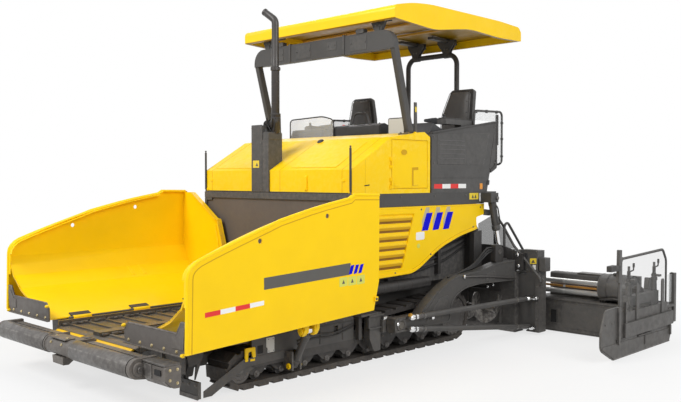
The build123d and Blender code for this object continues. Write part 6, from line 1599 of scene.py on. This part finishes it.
def make_gate(name):
    """Side plate that stands for the CAD gate: shoe, wide clear window in a frame, bar, lugs and cranks."""
    body = "end_gate_"
    plate = Piece("gate_plate_" + name, GREY, body + name, SIDES[name], 0.002)
    plate.prism("x", rounded([(4.103, 0.32), (4.103, 0.144), (4.379, 0.005), (5.822, 0.005), (5.876, 0.132),
                              (5.876, 0.4), (5.74, 0.43), (5.74, 0.48), (4.59, 0.48), (4.575, 0.56),
                              (4.208, 0.555)], [0.02, 0.06, 0.06, 0.06, 0.06, 0.02, 0.01, 0.01, 0.02, 0.02,
                0.06], 4), 3.06, 3.082)
    plate.prism("x", [(4.52, 0.55), (4.575, 0.55), (4.575, 1.03), (4.6, 1.062), (4.59, 1.086), (4.552, 1.07),
                      (4.52, 1.04)], 3.06, 3.082, 0.005)
    plate.prism("x", rect(4.6, 5.86, 0.215, 0.37), 3.081, 3.1136, 0.01)
    plate.tube([(3.071, 4.56, 1.066), (3.071, 5.633, 1.104), (3.071, 5.728, 0.978), (3.071, 5.728, 0.44)],
               0.012, 0.04, sides=12)
    for y in JACKS_Y:
        plate.turned((JACK_X, y, 0.7855), "z", hoop(0, 0.0245, 0.0148, 0.032), 24)
        plate.box((3.012, 3.061), (y - 0.03, y + 0.03), (0.7855, 0.81))
    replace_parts(plate.finish_piece(), body + name)
    kit = Kit("gate", name, edge=0.002)
    grey, dark, steel = kit(GREY, body), kit(BLACK, body), kit(ROLLER, body)
    kit(CLEAR_PALE, body, 0.0).prism("x", [(4.575, 0.48), (4.575, 1.06), (5.62, 1.096), (5.718, 0.97),
                (5.718, 0.48)], 3.0695, 3.0725)
    dark.tube([(3.0725, 4.579, 0.5), (3.0725, 4.579, 1.056), (3.0725, 5.618, 1.09), (3.0725, 5.714, 0.968),
               (3.0725, 5.714, 0.5)], 0.0065, 0.03, sides=8)
    # post and box at the front edge
    grey.prism("x", [(4.495, 0.82), (4.565, 0.8), (4.562, 1.162), (4.505, 1.165)], 3.05, 3.084, 0.006)
    dark.prism("x", [(4.284, 0.946), (4.5, 0.946), (4.5, 1.0), (4.42, 1.01), (4.284, 1.008)], 3.045, 3.1,
               0.008)
    # shoe: heel bar, uprights, ribs and slots on the outer face
    for y, wide, z0, z1 in ((4.46, 0.045, 0.16, 0.56), (4.62, 0.03, 0.37, 0.6), (5.79, 0.03, 0.09, 0.2)):
        grey.box((GATE_FACE - 0.002, GATE_LIMIT - 0.004), (y, y + wide), (z0, z1))
    dark.box((GATE_FACE, GATE_FACE + 0.014), (4.44, 4.58), (0.19, 0.215))
    grey.prism("x", [(4.12, 0.155), (4.385, 0.02), (5.81, 0.02), (5.86, 0.14), (5.86, 0.16), (4.13, 0.18)],
               GATE_FACE - 0.002, GATE_FACE + 0.006, 0.02)
    dark.box((GATE_FACE, GATE_FACE + 0.012), (4.96, 5.31), (0.176, 0.196))
    dark.box((GATE_FACE, GATE_FACE + 0.012), (5.12, 5.16), (0.07, 0.177))
    steel.box((3.06, GATE_FACE + 0.004), (4.38, 5.82), (0.0055, 0.022))
    for y in (4.68, 5.0, 5.35, 5.7, 5.82):
        for z in (0.25, 0.33):
            kit(BOLT_DARK, body).bolt((GATE_LIMIT - 0.006, y, z), "x", 0.0095, 0.007, False)
    for y in (4.2, 4.35, 5.79, 5.84):
        kit(BOLT_DARK, body).bolt((GATE_FACE, y, 0.4), "x", 0.009, 0.007)
    for y, hand in zip(JACKS_Y, (0.115, 0.11)):
        grey.prism("x", [(y - 0.034, 0.37), (y + 0.034, 0.37), (y + 0.034, 0.74), (y + 0.02, 0.765),
                         (y - 0.02, 0.765), (y - 0.034, 0.74)], GATE_FACE - 0.002, GATE_FACE + 0.012, 0.006)
        # crank on its sleeve
        dark.turned((JACK_X, y, 0.8095), "z", [(0, 0.0148), (0, 0.024), (0.014, 0.024), (0.016, 0.019),
                    (0.088, 0.019), (0.088, 0.0148)], 18)
        dark.tube([(JACK_X, y + 0.016, 0.888), (JACK_X, y + hand, 0.898), (JACK_X, y + hand + 0.005, 0.962)],
                  0.0085, 0.012, sides=10)
        dark.turned((JACK_X, y + hand + 0.005, 0.928), "z", [(0, 0.0125), (0.046, 0.0125), (0.05, 0.008)], 14)
    kit.done()


def make_auger(name):
    """Screw with a true helical flight: one closed ribbon over all its turns."""
    piece = Piece("auger_screw_" + name, ROLLER, "auger_" + name, SIDES[name], 0.0)
    axis = Vector((0, 4.665, 0.33))
    piece.rod((0.05, axis.y, axis.z), (1.45, axis.y, axis.z), 0.038, sides=28)
    turns, start, end, steps = 4.2, 0.15, 1.43, 110
    rings = []
    for i in range(steps + 1):
        t = i / steps
        a = 2 * pi * turns * t
        x = start + (end - start) * t
        out = Vector((0, cos(a), sin(a)))
        rings.append([Vector((x + dx, axis.y, axis.z)) + out * r for dx,
                      r in ((-0.007, 0.034), (-0.005, 0.1835), (0.005, 0.1835), (0.007, 0.034))])
    piece.loft(rings)
    for x in (0.12, 0.6, 1.02, 1.42):
        piece.turned((x, axis.y, axis.z), "x", hoop(0, 0.02, 0.038, 0.05), 24)
    made = piece.finish_piece()
    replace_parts(made, "auger_" + name)


def make_screed_middle():
    kit = Kit("screed_middle", edge=0.002)
    grey, dark = kit(GREY, "screed"), kit(BLACK, "screed")
    grey.prism("x", [(4.93, 0.62), (4.982, 0.62), (4.982, 0.77), (4.95, 0.77)], -0.2, 0.2, 0.01)
    dark.turned((0, 5.3, 0.7695), "z", [(0, 0.09), (0.02, 0.09), (0.03, 0.06), (0.08, 0.05), (0.085, 0.02)],
                28)
    for k in (1, -1):
        kit(HOSE, "screed").tube([(k * 0.05, 5.3, 0.8), (k * 0.3, 5.22, 0.83), (k * 0.7, 5.2, 0.79),
                                  (k * 1.1, 5.2, 0.79)], 0.016, 0.1)
    kit.done()
    kit = Kit("auger_drive", edge=0.002)
    grey = kit(GREY)
    grey.turned((0, 4.735, 0.42), "y", [(0, 0.07), (0.02, 0.07), (0.026, 0.05)], 28)
    for a in range(0, 360, 60):
        kit(BOLT_DARK).bolt((0.055 * cos(radians(a)), 4.755, 0.42 + 0.055 * sin(radians(a))), "y", 0.008,
                            0.007)
    for k in (1, -1):
        kit(HOSE).tube([(k * 0.06, 4.6, 0.62), (k * 0.3, 4.57, 0.6), (k * 0.6, 4.56, 0.66),
                        (k * 0.9, 4.56, 0.7)], 0.014, 0.1)
    # inside and rear of the body
    dark = kit(BLACK)
    for i in range(4):
        dark.box((-0.9 + i * 0.47, -0.52 + i * 0.47), (4.608, 4.616), (0.9, 1.14))
    for i in range(6):
        kit(BOLT_DARK).bolt((-1.1 + i * 0.44, 4.611, 1.68), "y", 0.01, 0.008)
    for x in (-0.27, 0.27):
        for z in (1.18, 1.43):
            grey.prism("z", [(x - 0.03, 4.6), (x + 0.03, 4.6), (x + 0.02, 4.8), (x - 0.02, 4.8)], z - 0.03,
                       z - 0.022, 0.004)
    kit.done()


for side in SIDES:
    make_tow_side(side)
    make_lift(side)
    make_extension(side)
    make_gate(side)
    make_auger(side)
make_screed_middle()


# ================================================================ camera and light
SENSOR = 36.0
LENS = 43.04
CAMERA_AT = Vector((6.985, FRONT - 3.725, 1.942))
CAMERA_AZIMUTH = radians(44.337)
CAMERA_PITCH = radians(-1.705)
WHITE_LIGHT = (1, 1, 1, 1)
FILL_STRENGTH = 0.42
FLOOR_SIZE, FLOOR_Z, FLOOR_COLOUR = 80.0, -0.002, (0.7, 0.7, 0.7, 1)
FLOOR_FADE = (3.2, 6.5, 0.72, 1.0)  # from distance, to distance, share of white at each
LAMPS = (("key", (-1.5, -11, 9), 7.0, 1450.0), ("side", (11, -1, 5.5), 8.0, 720.0),
         ("back", (-8, 9, 8), 8.0, 450.0))


def make_camera():
    data = bpy.data.cameras.new("camera")
    data.lens = LENS
    data.sensor_width = SENSOR
    data.clip_end = 200.0
    camera = bpy.data.objects.new("camera", data)
    bpy.context.scene.collection.objects.link(camera)
    look = Vector((-sin(CAMERA_AZIMUTH) * cos(CAMERA_PITCH), cos(CAMERA_AZIMUTH) * cos(CAMERA_PITCH),
                   sin(CAMERA_PITCH)))
    camera.location = CAMERA_AT
    camera.rotation_mode = "QUATERNION"
    camera.rotation_quaternion = look.to_track_quat("-Z", "Y")
    bpy.context.scene.camera = camera


def area_light(name, place, target, size, power):
    data = bpy.data.lights.new(name, "AREA")
    data.shape = "DISK"
    data.size = size
    data.energy = power
    lamp = bpy.data.objects.new(name, data)
    bpy.context.scene.collection.objects.link(lamp)
    lamp.location = place
    lamp.rotation_mode = "QUATERNION"
    lamp.rotation_quaternion = (Vector(target) - Vector(place)).to_track_quat("-Z", "Y")


def seen_rays(tree):
    """1 for rays that see the background straight, in a reflection or through glass."""
    path = tree.nodes.new("ShaderNodeLightPath")
    some = math(tree, "MAXIMUM", path.outputs["Is Camera Ray"], path.outputs["Is Glossy Ray"])
    return math(tree, "MAXIMUM", some, path.outputs["Is Transmission Ray"])


def make_world():
    world = bpy.data.worlds.new("studio")
    bpy.context.scene.world = world
    world.use_nodes = True
    tree = world.node_tree
    tree.nodes.clear()
    output = tree.nodes.new("ShaderNodeOutputWorld")
    seen = add_node(tree, "ShaderNodeBackground", Color=WHITE_LIGHT)
    lit = add_node(tree, "ShaderNodeBackground", Color=WHITE_LIGHT, Strength=FILL_STRENGTH)
    chosen = tree.nodes.new("ShaderNodeMixShader")
    tree.links.new(seen_rays(tree), chosen.inputs["Fac"])
    tree.links.new(lit.outputs["Background"], chosen.inputs[1])
    tree.links.new(seen.outputs["Background"], chosen.inputs[2])
    tree.links.new(chosen.outputs["Shader"], output.inputs["Surface"])


def make_floor():
    """Pale floor: white to the camera, apart from the object's soft shadow."""
    bm = bmesh.new()
    bmesh.ops.create_grid(bm, x_segments=1, y_segments=1, size=FLOOR_SIZE)
    mesh = bpy.data.meshes.new("floor")
    bm.to_mesh(mesh)
    bm.free()
    floor = bpy.data.objects.new("floor", mesh)
    bpy.context.scene.collection.objects.link(floor)
    floor.location.z = FLOOR_Z
    made = bpy.data.materials.new("floor")
    made.use_nodes = True
    tree = made.node_tree
    shader = tree.nodes["Principled BSDF"]
    shader.inputs["Base Color"].default_value = FLOOR_COLOUR
    shader.inputs["Roughness"].default_value = 1.0
    shader.inputs["Specular IOR Level"].default_value = 0.0
    glow = add_node(tree, "ShaderNodeEmission", Color=WHITE_LIGHT, Strength=1.0)
    place = tree.nodes.new("ShaderNodeTexCoord")
    far = add_node(tree, "ShaderNodeVectorMath")
    far.operation = "LENGTH"
    tree.links.new(place.outputs["Object"], far.inputs[0])
    fade = ramp(tree, far.outputs["Value"], *FLOOR_FADE)
    blend = tree.nodes.new("ShaderNodeMixShader")
    tree.links.new(math(tree, "MULTIPLY", fade, seen_rays(tree)), blend.inputs["Fac"])
    tree.links.new(shader.outputs["BSDF"], blend.inputs[1])
    tree.links.new(glow.outputs["Emission"], blend.inputs[2])
    tree.links.new(blend.outputs["Shader"], tree.nodes["Material Output"].inputs["Surface"])
    mesh.materials.append(made)


make_camera()
make_world()
make_floor()
centre = (Vector(cad_box[0]) + Vector(cad_box[1])) / 2
for name, offset, size, power in LAMPS:
    area_light(name, centre + Vector(offset), centre, size, power)

bpy.context.scene.view_settings.view_transform = "Standard"
